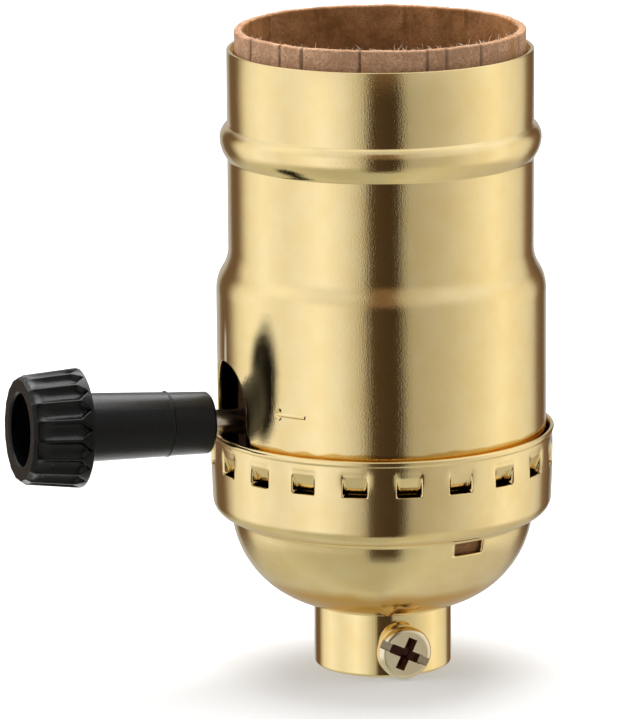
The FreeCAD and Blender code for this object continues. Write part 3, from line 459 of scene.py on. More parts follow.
def with_heights(line, heights):
    """The line with a point added at each height that it passes."""
    for height in heights:
        for index in range(len(line) - 1):
            low, high = line[index][1], line[index + 1][1]
            if low + 0.004 < height < high - 0.004:
                share = (height - low) / (high - low)
                added = line[index] + share * (line[index + 1] - line[index])
                line = np.insert(line, index + 1, added, axis=0)
                break
    return line


def ramp_down(value, low, high):
    """One at and below the low end, zero at and above the high end, smooth between."""
    share = np.clip((value - low) / (high - low), 0, 1)
    return 1 - share * share * (3 - 2 * share)


def arch_half(height, half, top, flare=0.0):
    """Half the width of an arched notch at a height, or nothing above it."""
    spring = top - half
    widened = half + flare * np.clip((CAP_RIM + 2 * flare - height) / max(2 * flare, 0.01), 0, 1)
    curved = np.sqrt(np.clip(half ** 2 - np.clip(height - spring, 0, half) ** 2, 0, None))
    return np.where(height >= top, 0.0, np.where(height > spring, curved, widened))


def arch_heights(half, top, steps=14):
    """Heights that follow the arch of a notch evenly."""
    return [top - half + half * math.sin(math.pi / 2 * step / steps) for step in range(steps + 1)]


def turned(line, azimuth, wave=0):
    """Points of a line of radius and height, spun round Z."""
    return spin(line[:, 0][:, None] + wave, line[:, 1][:, None], azimuth)


def circle(count):
    """Evenly spaced azimuths, as one row."""
    return np.linspace(0, TURN, count, endpoint=False)[None, :]


def spun_wall(name, line, thick, azimuth, wave=0):
    """A thin wall without openings, spun round Z."""
    return sheet_mesh(name, turned(line, azimuth, wave), turned(offset(line, thick), azimuth, wave))


def degrees_from(turn, mark):
    """How far round a turn lies from a mark, from -180 to 180 degrees."""
    return (turn - mark + 540) % 360 - 180


def notched_tube(name, line, thick, half, top, flare=0.0, count=168, edge=EDGE_ROUND, wave=None):
    """A thin wall spun round Z with an arched notch on the knob's side.

    The columns start and end at the notch, lie close together beside it, and follow its outline.
    """
    near = np.array([0, 0.3, 0.8, 1.8])
    first, last = 3.4, 356.6
    reach, edge_turn = 50, 0.8
    line = with_heights(line, arch_heights(half, top))
    low, high = line[0][1] + EDGE_REACH, line[-1][1] - EDGE_REACH
    line = with_heights(line, [CAP_RIM, CAP_RIM + 2 * flare, high, low])
    base = np.concatenate([near, np.linspace(first, last, count), 360 - near[::-1]])
    height = line[:, 1][:, None]
    open_half = arch_half(height, half, top, flare)
    turn = np.degrees(np.arcsin(open_half / line[:, 0][:, None]))
    share = np.clip(1 - base / reach, 0, 1) - np.clip(1 - (360 - base) / reach, 0, 1)
    azimuth = np.radians(base[None, :] + turn * share[None, :] - 90)
    gap = np.minimum(base, 360 - base)[None, :] * (open_half > 0) + 9 * (open_half <= 0)
    ease = edge * np.clip(1 - gap / edge_turn, 0, 1) ** 2
    ends = np.minimum(height - line[0][1], line[-1][1] - height)
    ease = np.maximum(ease, edge * np.clip(1 - ends / EDGE_REACH, 0, 1) ** 2)
    change = wave(height, azimuth) if wave else 0
    outer = turned(line, azimuth, change - ease)
    inner = turned(offset(line, thick), azimuth, change + ease)
    shut = int(np.argmax(line[:, 1] >= top - 0.001))
    return weld(sheet_mesh(name, outer, inner, closed=False, shut=shut))


def barrel_wave(height, azimuth):
    """Slight unevenness that drawing leaves in the barrel."""
    return 0.022 * np.sin(2 * azimuth + 0.6 + height / 14) + 0.012 * np.sin(5 * azimuth - height / 6)


def make_outer_shell():
    """Drawn barrel with snap groove, shoulder, bead and the notch for the knob."""
    line = trace([
        (SHELL_BASE_R, SHELL_FOOT),
        (SHELL_BASE_R, GROOVE_LOW),
        (SHELL_BASE_R - GROOVE_DEEP, GROOVE_LOW + GROOVE_SLOPE),
        (SHELL_BASE_R - GROOVE_DEEP, GROOVE_HIGH - GROOVE_SLOPE),
        (SHELL_BASE_R, GROOVE_HIGH),
        (SHELL_BASE_R, SHOULDER_LOW),
        ((SHELL_BASE_R + SHELL_R) / 2, (SHOULDER_LOW + SHOULDER_HIGH) / 2, -SHOULDER_BEND),
        (SHELL_R, SHOULDER_HIGH, SHOULDER_BEND),
        (SHELL_R, BEAD_LOW),
        (SHELL_R + BEAD_OUT, BEAD_WIDEST, -BEAD_LOW_BEND),
        (SHELL_R, BEAD_HIGH, -BEAD_HIGH_BEND),
        (SHELL_R, SHELL_TOP),
    ], fillet=0.5)
    return notched_tube("barrel", line, SHEET_T, NOTCH_HALF, NOTCH_TOP, NOTCH_FLARE, wave=barrel_wave)


def liner_wave(height, azimuth):
    """Creases and flattened panels of the rolled card, where it stands out of the shell."""
    turn = np.degrees(azimuth)
    shape = 0
    for crease in CREASES:
        away = degrees_from(turn, crease)
        shape = shape - CREASE_DEEP * np.exp(-(away / CREASE_TURN) ** 2)
        shape = shape - 0.07 * np.exp(-np.abs(away) / 6) * (away > 0)
    out = np.clip((height - (SHELL_TOP - 0.3)) / 0.3, 0, 1)
    return (shape + 0.05 * np.sin(7 * azimuth + 1)) * out


def make_liner():
    """Rolled cardboard tube whose frayed rim stands out of the shell."""
    heights = np.concatenate([[LINER_FOOT], np.linspace(LINER_FOOT + 2, LINER_HIDDEN_TOP, 14),
                              np.linspace(LINER_SEEN_FROM, LINER_TOP, 10)])
    line = np.array([(LINER_R, height) for height in heights])
    tube = notched_tube("card_tube", line, LINER_T, LINER_NOTCH_HALF, LINER_NOTCH_TOP, count=560,
                        edge=LINER_EDGE_ROUND, wave=liner_wave)
    phases = np.random.default_rng(7).uniform(0, TURN, FRAY_WAVES)
    crease_shade_mark = tube.data.attributes.new("crease", "FLOAT", "POINT")
    for point in tube.data.vertices:
        azimuth = math.atan2(point.co.x, -point.co.y)
        rise = (point.co.z / MM - (LINER_TOP - FRAY_TALL)) / FRAY_TALL
        if rise > 0:
            ragged = sum(math.sin((3 + 5 * k) * azimuth + phases[k]) / (2 + k) for k in range(FRAY_WAVES))
            point.co.z += FRAY_RISE * rise * (ragged - 0.6) * MM
        # Nearness to a crease, which carries a painted shade line there
        away = min(abs(degrees_from(math.degrees(azimuth), crease)) for crease in CREASES)
        crease_shade_mark.data[point.index].value = math.exp(-(away / CREASE_SHADE_TURN) ** 2)
    return tube


def make_fuzz():
    """Loose paper fibres along the card's torn inner edge, each a bent strand with three sides."""
    rng = np.random.default_rng(11)
    rings, sides = 6, 3
    points, faces = [], []
    for _ in range(FIBRES):
        azimuth = math.radians(rng.choice(FIBRE_TURNS) + rng.normal(0, FIBRE_SPREAD))
        spot = spin(LINER_R - rng.uniform(0.25, 0.95), LINER_TOP - 0.1, np.array(azimuth))
        lean = rng.normal(0, 1, 3) * (1, 1, 0.4) + (0, 0, 0.6)
        bend = rng.normal(0, 1, 3) * (1, 1, 0.7)
        length = rng.uniform(0.2, 0.75)
        lean *= length / np.linalg.norm(lean)
        bend *= length * 0.7 / np.linalg.norm(bend)
        thick = rng.uniform(0.03, 0.055)
        start = len(points)
        for ring in range(rings):
            share = ring / (rings - 1)
            centre = spot + lean * share + bend * share * (share - 0.5)
            width = thick * (1 - 0.6 * share)
            for side in range(sides):
                angle = TURN * side / sides
                across = np.array([math.cos(angle), math.sin(angle), 0.4 * math.cos(angle)])
                points.append(centre + width * across)
        for ring in range(rings - 1):
            for side in range(sides):
                a, b = start + sides * ring + side, start + sides * ring + (side + 1) % sides
                faces.append((a, b, b + sides, a + sides))
        last = len(points) - sides
        faces.append((start + 2, start + 1, start))
        faces.append((last, last + 1, last + 2))
    return finish_mesh("card_fibres", points, faces)


def louvre_dent(side, height):
    """How far the cap's band is pushed in at a place beside a louvre's middle."""
    across = np.clip((LOUVRE_HALF + 0.06 - np.abs(side)) / 0.14, 0, 1)
    down = np.clip((LOUVRE_HIGH - height) / (LOUVRE_HIGH - LOUVRE_TIP), 0, 1)
    pushed = LOUVRE_DEEP * across * down ** LOUVRE_CURVE * (height > LOUVRE_LOW + 0.2)
    shallow = DIMPLE_DEEP * ramp_down(np.abs(side), LOUVRE_HALF - 0.15, LOUVRE_HALF + 0.4)
    shallow = shallow * ramp_down(height, LOUVRE_HIGH + 0.1, LOUVRE_HIGH + 0.7)
    return pushed + shallow * ramp_down(-height, -LOUVRE_TIP - 1.3, -LOUVRE_TIP - 0.3)


def cap_nub(radius, height, azimuth):
    """How far the small lump on the bowl's foot stands out."""
    beside = ((azimuth - math.radians(NUB_TURN) + math.pi) % TURN - math.pi) * radius
    lump = np.exp(-(beside / NUB_HALF) ** 4) * ramp_down(height, NUB_LOW, NUB_HIGH)
    return NUB_OUT * lump * (radius > NUB_FROM_R)


def cap_line():
    """Outline of the cap's outer face, with rows where its openings start and end."""
    line = trace([
        (CAP_HOLE_R, CAP_FLOOR),
        (BOWL_FOOT_R, CAP_FLOOR),
        (BOWL_MID_R, BOWL_MID_Z, -BOWL_BEND),
        (BOWL_TOP_R, BOWL_TOP_Z, -BOWL_BEND),
        (LEDGE_R, LEDGE_Z),
        (BAND_LOW_R, BAND_LOW_Z, -BAND_BEND),
        (CAP_R, LOUVRE_LOW),
        (CAP_R, CAP_RIM - 0.6),
        (CAP_R + CAP_FLARE, CAP_RIM),
    ], fillet=0.35, steps=12)
    return with_heights(line, [SLOT_LOW, SLOT_HIGH, *BAND_ROWS, LOUVRE_LOW + 0.005, LOUVRE_TIP, *LOUVRE_ROWS,
                               CAP_RIM - EDGE_ROUND])


def cap_wall(height, sides, azimuth):
    """Which faces of the cap's wall are kept: all but the louvres' windows and the slot."""
    middles = (height[:-1] + height[1:]) / 2
    next_side = np.roll(sides, -1, axis=1)
    in_louvre = (np.abs((sides + next_side) / 2) < LOUVRE_HALF - 0.05) & (np.abs(next_side - sides) < 0.6)
    in_window = (middles > LOUVRE_LOW) & (middles < LOUVRE_TIP)
    degrees = np.degrees(azimuth + (np.roll(azimuth, -1, axis=1) - azimuth) % TURN / 2)
    in_slot = np.abs(degrees_from(degrees, SLOT_TURN)) < SLOT_HALF_TURN
    return ~(in_louvre & in_window) & ~(in_slot & (middles > SLOT_LOW) & (middles < SLOT_HIGH))


def make_cap():
    """Spun cap: bowl, ledge and band with twenty louvres and the slot under the ledge."""
    line = cap_line()
    cell = TURN / LOUVRES
    beside = np.array(LOUVRE_COLUMNS)
    side = np.concatenate([[-cell * CAP_R / 2], -beside[::-1], [0], beside])
    middle = math.radians(LOUVRE_TURN) + cell * np.arange(LOUVRES)
    azimuth = (middle[:, None] + side[None, :] / CAP_R).reshape(1, -1)
    sides = np.tile(side, LOUVRES)[None, :]
    radius, height = line[:, 0][:, None], line[:, 1][:, None]
    dent = louvre_dent(sides, height)
    rim = EDGE_ROUND * np.clip(1 - (CAP_RIM - height) / EDGE_ROUND, 0, 1) ** 2
    nub = cap_nub(radius, height, azimuth)
    uneven = 0.012 * np.sin(3 * azimuth + 1) + 0.008 * np.sin(7 * azimuth + height / 3)
    outer = turned(line, azimuth, nub + uneven - dent - rim)
    outer[..., 2] -= 0.3 * nub
    inner = turned(offset(line, SHEET_T), azimuth, nub + uneven - dent + rim)
    return sheet_mesh("spun_cap", outer, inner, cap_wall(height, sides, azimuth))


def make_cap_liner():
    """Fibre bowl that lies in the cap and shows through its slot."""
    line = trace([
        (CAP_LINER_HOLE_R, CAP_FLOOR + CAP_LINER_GAP),
        (BOWL_FOOT_R - 0.2, CAP_FLOOR + CAP_LINER_GAP),
        (BOWL_MID_R - CAP_LINER_GAP, BOWL_MID_Z + 0.41, 0.6 - BOWL_BEND),
        (BOWL_TOP_R - CAP_LINER_GAP - 0.1, BOWL_TOP_Z + 0.1, 0.6 - BOWL_BEND),
        (LEDGE_R - 0.5, LEDGE_Z + 0.6),
        (BAND_LOW_R - 0.7, BAND_LOW_Z + 0.2, 0.5 - BAND_BEND),
        (CAP_R - CAP_LINER_GAP - 0.2, CAP_LINER_TOP),
    ], fillet=0.2, steps=12)
    return spun_wall("fibre_bowl", line, CAP_LINER_T, circle(96))


def make_neck():
    """Turned neck with a threaded bore and a flange, staked through the cap's floor."""
    line = trace([
        (NECK_BORE_R + NECK_EDGE, 0),
        (NECK_R - NECK_EDGE, 0),
        (NECK_R, NECK_EDGE, -NECK_EDGE),
        (NECK_R, NECK_TALL),
        (NECK_R + FLANGE_OUT - 0.05, NECK_TALL + 0.05),
        (NECK_R + FLANGE_OUT, NECK_TALL + FLANGE_T - 0.05),
        (NECK_WAIST_R, NECK_TALL + FLANGE_T),
        (NECK_WAIST_R, STAKE_LOW),
        (STAKE_R, STAKE_LOW),
        (STAKE_R, STAKE_HIGH),
        (NECK_WAIST_R, STAKE_TOP),
        (NECK_BORE_R + 0.3, STAKE_TOP),
    ], fillet=0.1)
    bore = np.array([(NECK_BORE_R, h) for h in np.arange(NECK_TALL + 1.75, NECK_EDGE, -0.1)])
    line = np.concatenate([line, bore])
    azimuth = circle(144)
    height = line[:, 1][:, None]
    in_bore = (np.arange(len(line)) >= len(line) - len(bore))[:, None]
    thread = NECK_THREAD_DEEP * in_bore * np.sin(TURN * (height / NECK_PITCH - azimuth / TURN))
    piece = ring_mesh("turned_neck", turned(line, azimuth, thread))
    hole = rod("neck_hole", SET_HOLE_R, NECK_BORE_R / 2 - SET_OUT, NECK_R + 1 - SET_OUT)
    hole.data.transform(set_screw_axis())
    return sharpen(carve(piece, hole), 50)


def rod(name, radius, low, high, count=48):
    """A round rod on Z between two heights."""
    azimuth = circle(count)[0]
    points = np.concatenate([spin(radius, low, azimuth), spin(radius, high, azimuth)])
    sides = [(k, (k + 1) % count, count + (k + 1) % count, count + k) for k in range(count)]
    return finish_mesh(name, points, sides + [tuple(range(count))[::-1], tuple(range(count, 2 * count))])


def block(name, half_long, half_wide, low, high, narrow=0.0):
    """A block on Z, narrower at its lower end."""
    points, faces = [], [(3, 2, 1, 0), (4, 5, 6, 7)]
    for height, less in ((low, narrow), (high, 0.0)):
        for x, y in CORNERS:
            points.append((x * (half_long - less), y * (half_wide - less / 2), height))
    faces += [(k, (k + 1) % 4, 4 + (k + 1) % 4, 4 + k) for k in range(4)]
    return finish_mesh(name, points, faces, smooth=False)


def carve(piece, *tools):
    """Cut tools out of a piece and drop them."""
    for tool in tools:
        change = piece.modifiers.new("cut", "BOOLEAN")
        change.operation = "DIFFERENCE"
        change.solver = "EXACT"
        change.object = tool
    found = piece.evaluated_get(bpy.context.evaluated_depsgraph_get())
    cut = bpy.data.meshes.new_from_object(found)
    piece.modifiers.clear()
    piece.data = cut
    for tool in tools:
        bpy.data.objects.remove(tool)
    return piece


def make_set_screw():
    """Pan head screw with a slot across a deep cross recess."""
    top = SET_HEAD_T
    line = trace([
        (0.02, SET_TIP),
        (SET_SHANK_R - 0.3, SET_TIP),
        (SET_SHANK_R, SET_TIP + 0.3),
        (SET_SHANK_R, 0),
        (SET_HEAD_R - 0.25, 0),
        (SET_HEAD_R, 0.25),
        (SET_HEAD_R, top * 0.55),
        (SET_HEAD_R - 0.55, top, -0.75),
        (0.02, top + 0.04),
    ], fillet=0.06)
    head = weld(ring_mesh("pan_screw", turned(line, circle(72))))
    cross = (CROSS_HALF_LONG, CROSS_HALF_WIDE, top - CROSS_DEEP, top + 0.3, 0.3)
    slot = block("slot_tool", SET_HEAD_R + 1, SET_SLOT_WIDE / 2, top - SET_SLOT_DEEP, top + 1, 0.06)
    along = block("along_tool", *cross)
    across = block("across_tool", *cross)
    across.data.transform(Matrix.Rotation(math.pi / 2, 4, "Z"))
    core = rod("core_tool", CROSS_CORE_R, top - CROSS_DEEP - 0.15, top + 0.3, 20)
    carve(head, slot, along, across, core)
    mark_recess_shade(head)
    head.data.transform(Matrix.Rotation(SET_SPIN, 4, "Z"))
    head.data.transform(set_screw_axis())
    return sharpen(head, 30)


def mark_recess_shade(head):
    """Mark the faces inside the screw's cross fully, and the walls of its slot by half, for painted shade.
    """
    slip = 0.02
    slot_floor = SET_HEAD_T - SET_SLOT_DEEP - slip
    mark = head.data.attributes.new("recess", "FLOAT", "FACE")
    for face in head.data.polygons:
        centre = face.center / MM
        far, near = max(abs(centre.x), abs(centre.y)), min(abs(centre.x), abs(centre.y))
        inside = far < CROSS_HALF_LONG + slip and near < CROSS_CORE_R + slip
        deep = 0.25 < centre.z < slot_floor and math.hypot(centre.x, centre.y) < SET_HEAD_R - 0.3
        in_slot = abs(centre.y) < SET_SLOT_WIDE / 2 + 0.01 and slot_floor <= centre.z < SET_HEAD_T - 0.1
        mark.data[face.index].value = 1.0 if inside and deep else 0.5 if in_slot else 0.0


def set_screw_axis():
    """The matrix that lays Z along the set screw, pointing outwards from below its head."""
    turn = Matrix.Rotation(SET_TURN, 4, "Z")
    out = Matrix.Rotation(math.pi / 2, 4, "X")
    return turn @ Matrix.Translation((0, -SET_OUT * MM, SET_Z * MM)) @ out


def make_arrow():
    """Raised arrow beside the knob: a shaft and two barbs, each with a rounded back."""
    shaft = np.array([(-ARROW_HALF, 0.0), (ARROW_HALF, 0.0)])
    barb_end = BARB_LONG - ARROW_HALF
    barbs = np.array([(barb_end, BARB_HALF), (-ARROW_HALF, 0.0), (barb_end, -BARB_HALF)])
    ribs = 7
    points, faces = [], []
    for stroke in (shaft, barbs):
        spans = [np.linspace(start, end, 12, endpoint=False) for start, end in zip(stroke, stroke[1:])]
        bends = np.concatenate(spans + [stroke[-1:]])
        first, size = len(points), len(bends)
        for rib in range(ribs):
            share = rib / (ribs - 1) * 2 - 1
            line = offset(bends, ARROW_WIDE / 2 * share)
            rise = ARROW_RISE * math.cos(share * math.pi / 2) - ARROW_SUNK
            turn = math.radians(ARROW_TURN) + line[:, 0] / SHELL_BASE_R
            points.extend(spin(SHELL_BASE_R + rise, ARROW_Z + line[:, 1], turn))
        for rib in range(ribs - 1):
            for step in range(size - 1):
                a = first + rib * size + step
                faces.append((a, a + 1, a + size + 1, a + size))
    return weld(finish_mesh("raised_arrow", points, faces))


def make_screw_shell():
    """Cup with a rolled thread for the lamp."""
    line = trace([
        (CUP_HOLE_R, CUP_FLOOR),
        (CUP_LOW_R - CUP_CORNER, CUP_FLOOR),
        (CUP_LOW_R, CUP_FLOOR + CUP_CORNER, -CUP_CORNER),
        (CUP_LOW_R, CUP_STEP_Z),
        (CUP_R, CUP_STEP_Z + 0.5),
        (CUP_R, CUP_TOP - 0.5),
        (CUP_MOUTH_R, CUP_TOP),
    ], fillet=0.3)
    line = with_heights(line, np.arange(CUP_FLOOR + 1.3, CUP_TOP - 0.5, 0.33))
    azimuth = circle(120)
    height = line[:, 1][:, None]
    roll = np.sin(TURN * (height / THREAD_PITCH - azimuth / TURN))
    strength = ramp_down(-height, -THREAD_LOW - THREAD_FADE, -THREAD_LOW)
    strength = strength * ramp_down(height, THREAD_HIGH - THREAD_FADE, THREAD_HIGH)
    return spun_wall("threaded_cup", line, CUP_T, azimuth, THREAD_DEEP * (0.6 + roll) * strength)


def knob_side(distance, across):
    """Radius of the fluted head: wide valleys between narrow ridges, ending in a point at the rear rim."""
    along = np.clip((distance - HEAD_BACK) / (HEAD_FRONT - HEAD_BACK), 0, 1)
    ridge = HEAD_R - HEAD_TAPER * along
    full = ramp_down(distance, HEAD_FRONT - 1.05, HEAD_FRONT - 0.25)
    deep = (FLUTE_DEEP - 0.16 * along) * (0.2 + 0.8 * full)
    reach = 0.455 * np.clip(distance - HEAD_BACK - 0.1, 0.001, 1)
    return ridge - deep * (1 - np.clip(np.abs(across) / reach, 0, 1) ** 2.6)


def knob_profile():
    """Outlines of the knob's hub, its fluted head, and its face with the hollow."""
    hub = trace([
        (KNOB_BORE_R, KNOB_BACK),
        (HUB_R - 0.34, KNOB_BACK),
        (HUB_R - 0.09, KNOB_BACK + 0.25),
        (HUB_R, SEAM_RING - 0.12),
        (SEAM_RING_R, SEAM_RING),
        (HUB_R + 0.04, SEAM_RING + 0.15),
        (HUB_FRONT_R, HUB_FRONT),
        (HUB_FRONT_R + 0.9, HUB_FRONT + 0.9, 0.9),
        (HEAD_R - 0.2, HUB_FRONT + 0.9),
        (HEAD_R, HUB_FRONT + 1.0),
    ], fillet=0.12)
    head = np.array([(HEAD_R, distance) for distance in HEAD_ROWS])
    face = trace([
        (HEAD_R - 0.6, KNOB_FACE - 0.31),
        (HEAD_R - 0.9, KNOB_FACE),
        (HOLLOW_R + 0.2, KNOB_FACE),
        (HOLLOW_R, KNOB_FACE - 0.26),
        (HOLLOW_R, HOLLOW_FLOOR),
        (KNOB_BORE_R, HOLLOW_FLOOR),
    ], fillet=0.12)
    return hub, head, face


def make_knob():
    """Moulded hub with a fluted, hollow head."""
    across = np.array(FLUTE_COLUMNS)
    across = np.concatenate([across, 1 - across[-2:0:-1]])
    azimuth = (TURN * (np.arange(FLUTES)[:, None] + across[None, :]) / FLUTES).reshape(1, -1)
    share = np.tile(np.where(across > 0.5, across - 1, across), FLUTES)[None, :]
    hub, head, face = knob_profile()
    line = np.concatenate([hub, head, face])
    distance = line[:, 1][:, None]
    radius = line[:, 0][:, None] + 0 * azimuth
    on_head = np.zeros((len(line), 1), bool)
    on_head[len(hub):len(hub) + len(head)] = True
    fluted = knob_side(distance, share)
    radius = np.where(on_head & (distance > HEAD_BACK), fluted, radius)
    chamfer = (distance > HEAD_ROWS[-1] + 0.05) & (radius > 5.0)
    radius = np.where(chamfer, np.minimum(radius, fluted - (distance - HEAD_ROWS[-1]) * 0.6), radius)
    ring = np.exp(-((distance - SEAM_RING) / 0.2) ** 2) * (radius < 4)
    radius = radius + 0.035 * ring * np.sin(3 * azimuth + 1) * np.sin(8 * azimuth)
    grid = np.stack([radius * np.cos(azimuth), radius * np.sin(azimuth), distance + 0 * azimuth], axis=-1)
    knob = ring_mesh("fluted_knob", grid)
    knob.data.transform(knob_axis())
    return sharpen(knob, 60)


def knob_axis():
    """The matrix that stands the knob's own Z on its axis, pointing outwards."""
    tilt = Matrix.Rotation(-(math.pi / 2 - KNOB_TILT), 4, "Y")
    return Matrix.Translation((0, 0, KNOB_Z * MM)) @ tilt


def add(tree, kind, inputs=None, **settings):
    """A shader node with its settings, and values or links for its inputs."""
    item = tree.nodes.new("ShaderNode" + kind)
    for key, setting in settings.items():
        setattr(item, key, setting)
    for key, source in (inputs or {}).items():
        if isinstance(source, bpy.types.NodeSocket):
            tree.links.new(source, item.inputs[key])
        else:
            item.inputs[key].default_value = source
    return item


def maths(tree, operation, first, second=0.0):
    """The result of a two-value sum."""
    return add(tree, "Math", {0: first, 1: second}, operation=operation).outputs[0]


def spread(tree, value, low, high, to_low, to_high, smooth=False):
    """A value carried from one range to another."""
    kind = "SMOOTHSTEP" if smooth else "LINEAR"
    settings = {"Value": value, "From Min": low, "From Max": high, "To Min": to_low, "To Max": to_high}
    return add(tree, "MapRange", settings, interpolation_type=kind).outputs[0]


def noise(tree, spot, scale, detail=2.0, rough=0.5):
    """Noise of a size given in features per millimetre."""
    settings = {"Vector": spot, "Scale": scale, "Detail": detail, "Roughness": rough}
    return add(tree, "TexNoise", settings).outputs[0]


def in_mm(tree, stretch=(1, 1, 1)):
    """Object coordinates in millimetres, squeezed where a grain runs long."""
    spot = add(tree, "TexCoord").outputs["Object"]
    scale = [s / MM for s in stretch]
    return add(tree, "Mapping", {"Vector": spot, "Scale": scale}).outputs[0]


def blend(tree, share, first, second):
    """Two colours mixed by a share."""
    mix = add(tree, "Mix", {0: share}, data_type="RGBA")
    for index, colour in ((6, first), (7, second)):
        if isinstance(colour, bpy.types.NodeSocket):
            tree.links.new(colour, mix.inputs[index])
        else:
            mix.inputs[index].default_value = (*colour, 1)
    return mix.outputs[2]


def new_material(name, **values):
    """A material with plain values on its own shader."""
    made = bpy.data.materials.new(name)
    made.use_nodes = True
    shader = made.node_tree.nodes["Principled BSDF"]
    for key, setting in values.items():
        shader.inputs[key.replace("_", " ")].default_value = setting
    return made, made.node_tree, shader


def relief(tree, shader, *parts):
    """Bump from a sum of parts, each a value and its height in millimetres."""
    height = maths(tree, "MULTIPLY", *parts[0])
    for part in parts[1:]:
        height = maths(tree, "ADD", height, maths(tree, "MULTIPLY", *part))
    bump = add(tree, "Bump", {"Height": height, "Distance": MM})
    tree.links.new(bump.outputs[0], shader.inputs["Normal"])


def brass(name, light, deep, rough, grain, streak, stretch, swell=0.02, height_bands=()):
    """Bright metal with fine grain, draw marks and slight changes of tint.

    Each height band is a height that it starts below, the depth over which it grows, its share and its
    colour. Callers use the bands for painted shade and painted reflection low on the metal.
    """
    made, tree, shader = new_material(name, Metallic=1.0)
    spot = in_mm(tree)
    marks = noise(tree, in_mm(tree, stretch), 1.0, 3.0, 0.6)
    fine = noise(tree, spot, GRAIN, 2.0, 0.6)
    relief(tree, shader, (fine, grain), (marks, streak), (noise(tree, spot, 0.13, 1.0), swell))
    tint = spread(tree, noise(tree, spot, 0.35, 3.0), 0.35, 0.65, 0, 1)
    skin = blend(tree, tint, light, deep)
    uneven = maths(tree, "SUBTRACT", noise(tree, spot, 0.22, 1.0), 0.5)
    level = add(tree, "SeparateXYZ", {0: spot}).outputs[2]
    level = maths(tree, "ADD", level, maths(tree, "MULTIPLY", uneven, 1.2))
    # Bands painted below given heights: shade and reflection on the shell and cap, and the shell's orange
    # tint
    for start, depth, share, colour in height_bands:
        skin = blend(tree, spread(tree, level, start - depth, start, share, 0, True), skin, colour)
    # Painted shade in the screw's cross and on its slot walls, from the recess attribute
    recess = add(tree, "Attribute", attribute_name="recess").outputs["Fac"]
    skin = blend(tree, recess, skin, RECESS_PAINTED_SHADE)
    tree.links.new(skin, shader.inputs["Base Color"])
    tree.links.new(spread(tree, fine, 0.3, 0.7, rough * 0.8, rough * 1.25), shader.inputs["Roughness"])
    return made


def cardboard():
    """Rolled brown card: mottled, fibrous, darker and greasier inside."""
    made, tree, shader = new_material("rolled_card", Roughness=0.92, Specular_IOR_Level=0.2)
    spot = in_mm(tree)
    cloud = spread(tree, noise(tree, spot, 0.5, 5.0, 0.65), 0.36, 0.66, 0, 1)
    fleck = spread(tree, noise(tree, spot, 3.2, 3.0, 0.7), 0.42, 0.62, 0, 1)
    warm = spread(tree, noise(tree, in_mm(tree, (1, 1, 0.2)), 0.32, 1.0), 0.6, 0.7, 0, 0.55)
    outside = blend(tree, cloud, (0.34, 0.20, 0.12), (0.52, 0.32, 0.20))
    outside = blend(tree, fleck, outside, (0.30, 0.165, 0.09))
    outside = blend(tree, warm, outside, (0.31, 0.13, 0.03))
    inside = blend(tree, cloud, (0.216, 0.096, 0.033), (0.376, 0.176, 0.07))
    inside = blend(tree, spread(tree, fleck, 0.5, 1, 0, 0.4), inside, (0.16, 0.064, 0.022))
    parts = add(tree, "SeparateXYZ", {0: spot})
    squares = [maths(tree, "MULTIPLY", part, part) for part in parts.outputs[:2]]
    radius = maths(tree, "SQRT", maths(tree, "ADD", *squares))
    within = spread(tree, radius, LINER_R - LINER_T, LINER_R - LINER_T + 0.25, 1, 0, True)
    # Painted shade along the creases
    crease_shade = maths(tree, "MULTIPLY", add(tree, "Attribute", attribute_name="crease").outputs["Fac"], 0.85)
    outside = blend(tree, crease_shade, outside, (0.05, 0.024, 0.014))
    tree.links.new(blend(tree, within, outside, inside), shader.inputs["Base Color"])
    relief(tree, shader, (noise(tree, spot, 2.6, 4.0, 0.7), 0.12), (cloud, 0.04))
    return made


def black_plastic():
    """Moulded black plastic with a fine matt skin and pale dust specks."""
    made, tree, shader = new_material("black_plastic", Specular_IOR_Level=0.26)
    spot = in_mm(tree)
    speck = spread(tree, noise(tree, spot, 5.5, 1.0, 0.6), 0.73, 0.8, 0, 0.5)
    cloud = noise(tree, spot, 0.5, 3.0)
    skin = blend(tree, cloud, (0.0008, 0.0008, 0.001), (0.002, 0.002, 0.0022))
    tree.links.new(blend(tree, speck, skin, (0.12, 0.12, 0.12)), shader.inputs["Base Color"])
    tree.links.new(spread(tree, cloud, 0.3, 0.7, 0.19, 0.27), shader.inputs["Roughness"])
    relief(tree, shader, (noise(tree, spot, 5.0, 3.0, 0.65), 0.03), (noise(tree, spot, 0.8, 2.0), 0.015))
    return made


def plain_skin(name, first, second, rough, bump, scale=1.2, metal=0.0, gloss=0.5):
    """A moulded, pressed or cut surface with clouded colour and a little relief."""
    made, tree, shader = new_material(name, Metallic=metal, Specular_IOR_Level=gloss)
    spot = in_mm(tree)
    cloud = spread(tree, noise(tree, spot, scale, 4.0, 0.6), 0.35, 0.65, 0, 1)
    tree.links.new(blend(tree, cloud, first, second), shader.inputs["Base Color"])
    tree.links.new(spread(tree, cloud, 0, 1, rough * 0.85, rough * 1.15), shader.inputs["Roughness"])
    relief(tree, shader, (noise(tree, spot, scale * 4, 3.0), bump))
    return made


def dress(piece, made, body, slot, *nodes):
    """Give a new piece its material and body, and hide the nodes that it stands for. The slot is not used.
    """
    piece.data.materials.clear()
    piece.data.materials.append(made)
    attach(piece, body)
    if nodes:
        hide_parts(*nodes)


def dress_node(name, made):
    """Give a node of the frame a better material."""
    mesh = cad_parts[name].data
    mesh.materials.clear()
    mesh.materials.append(made)


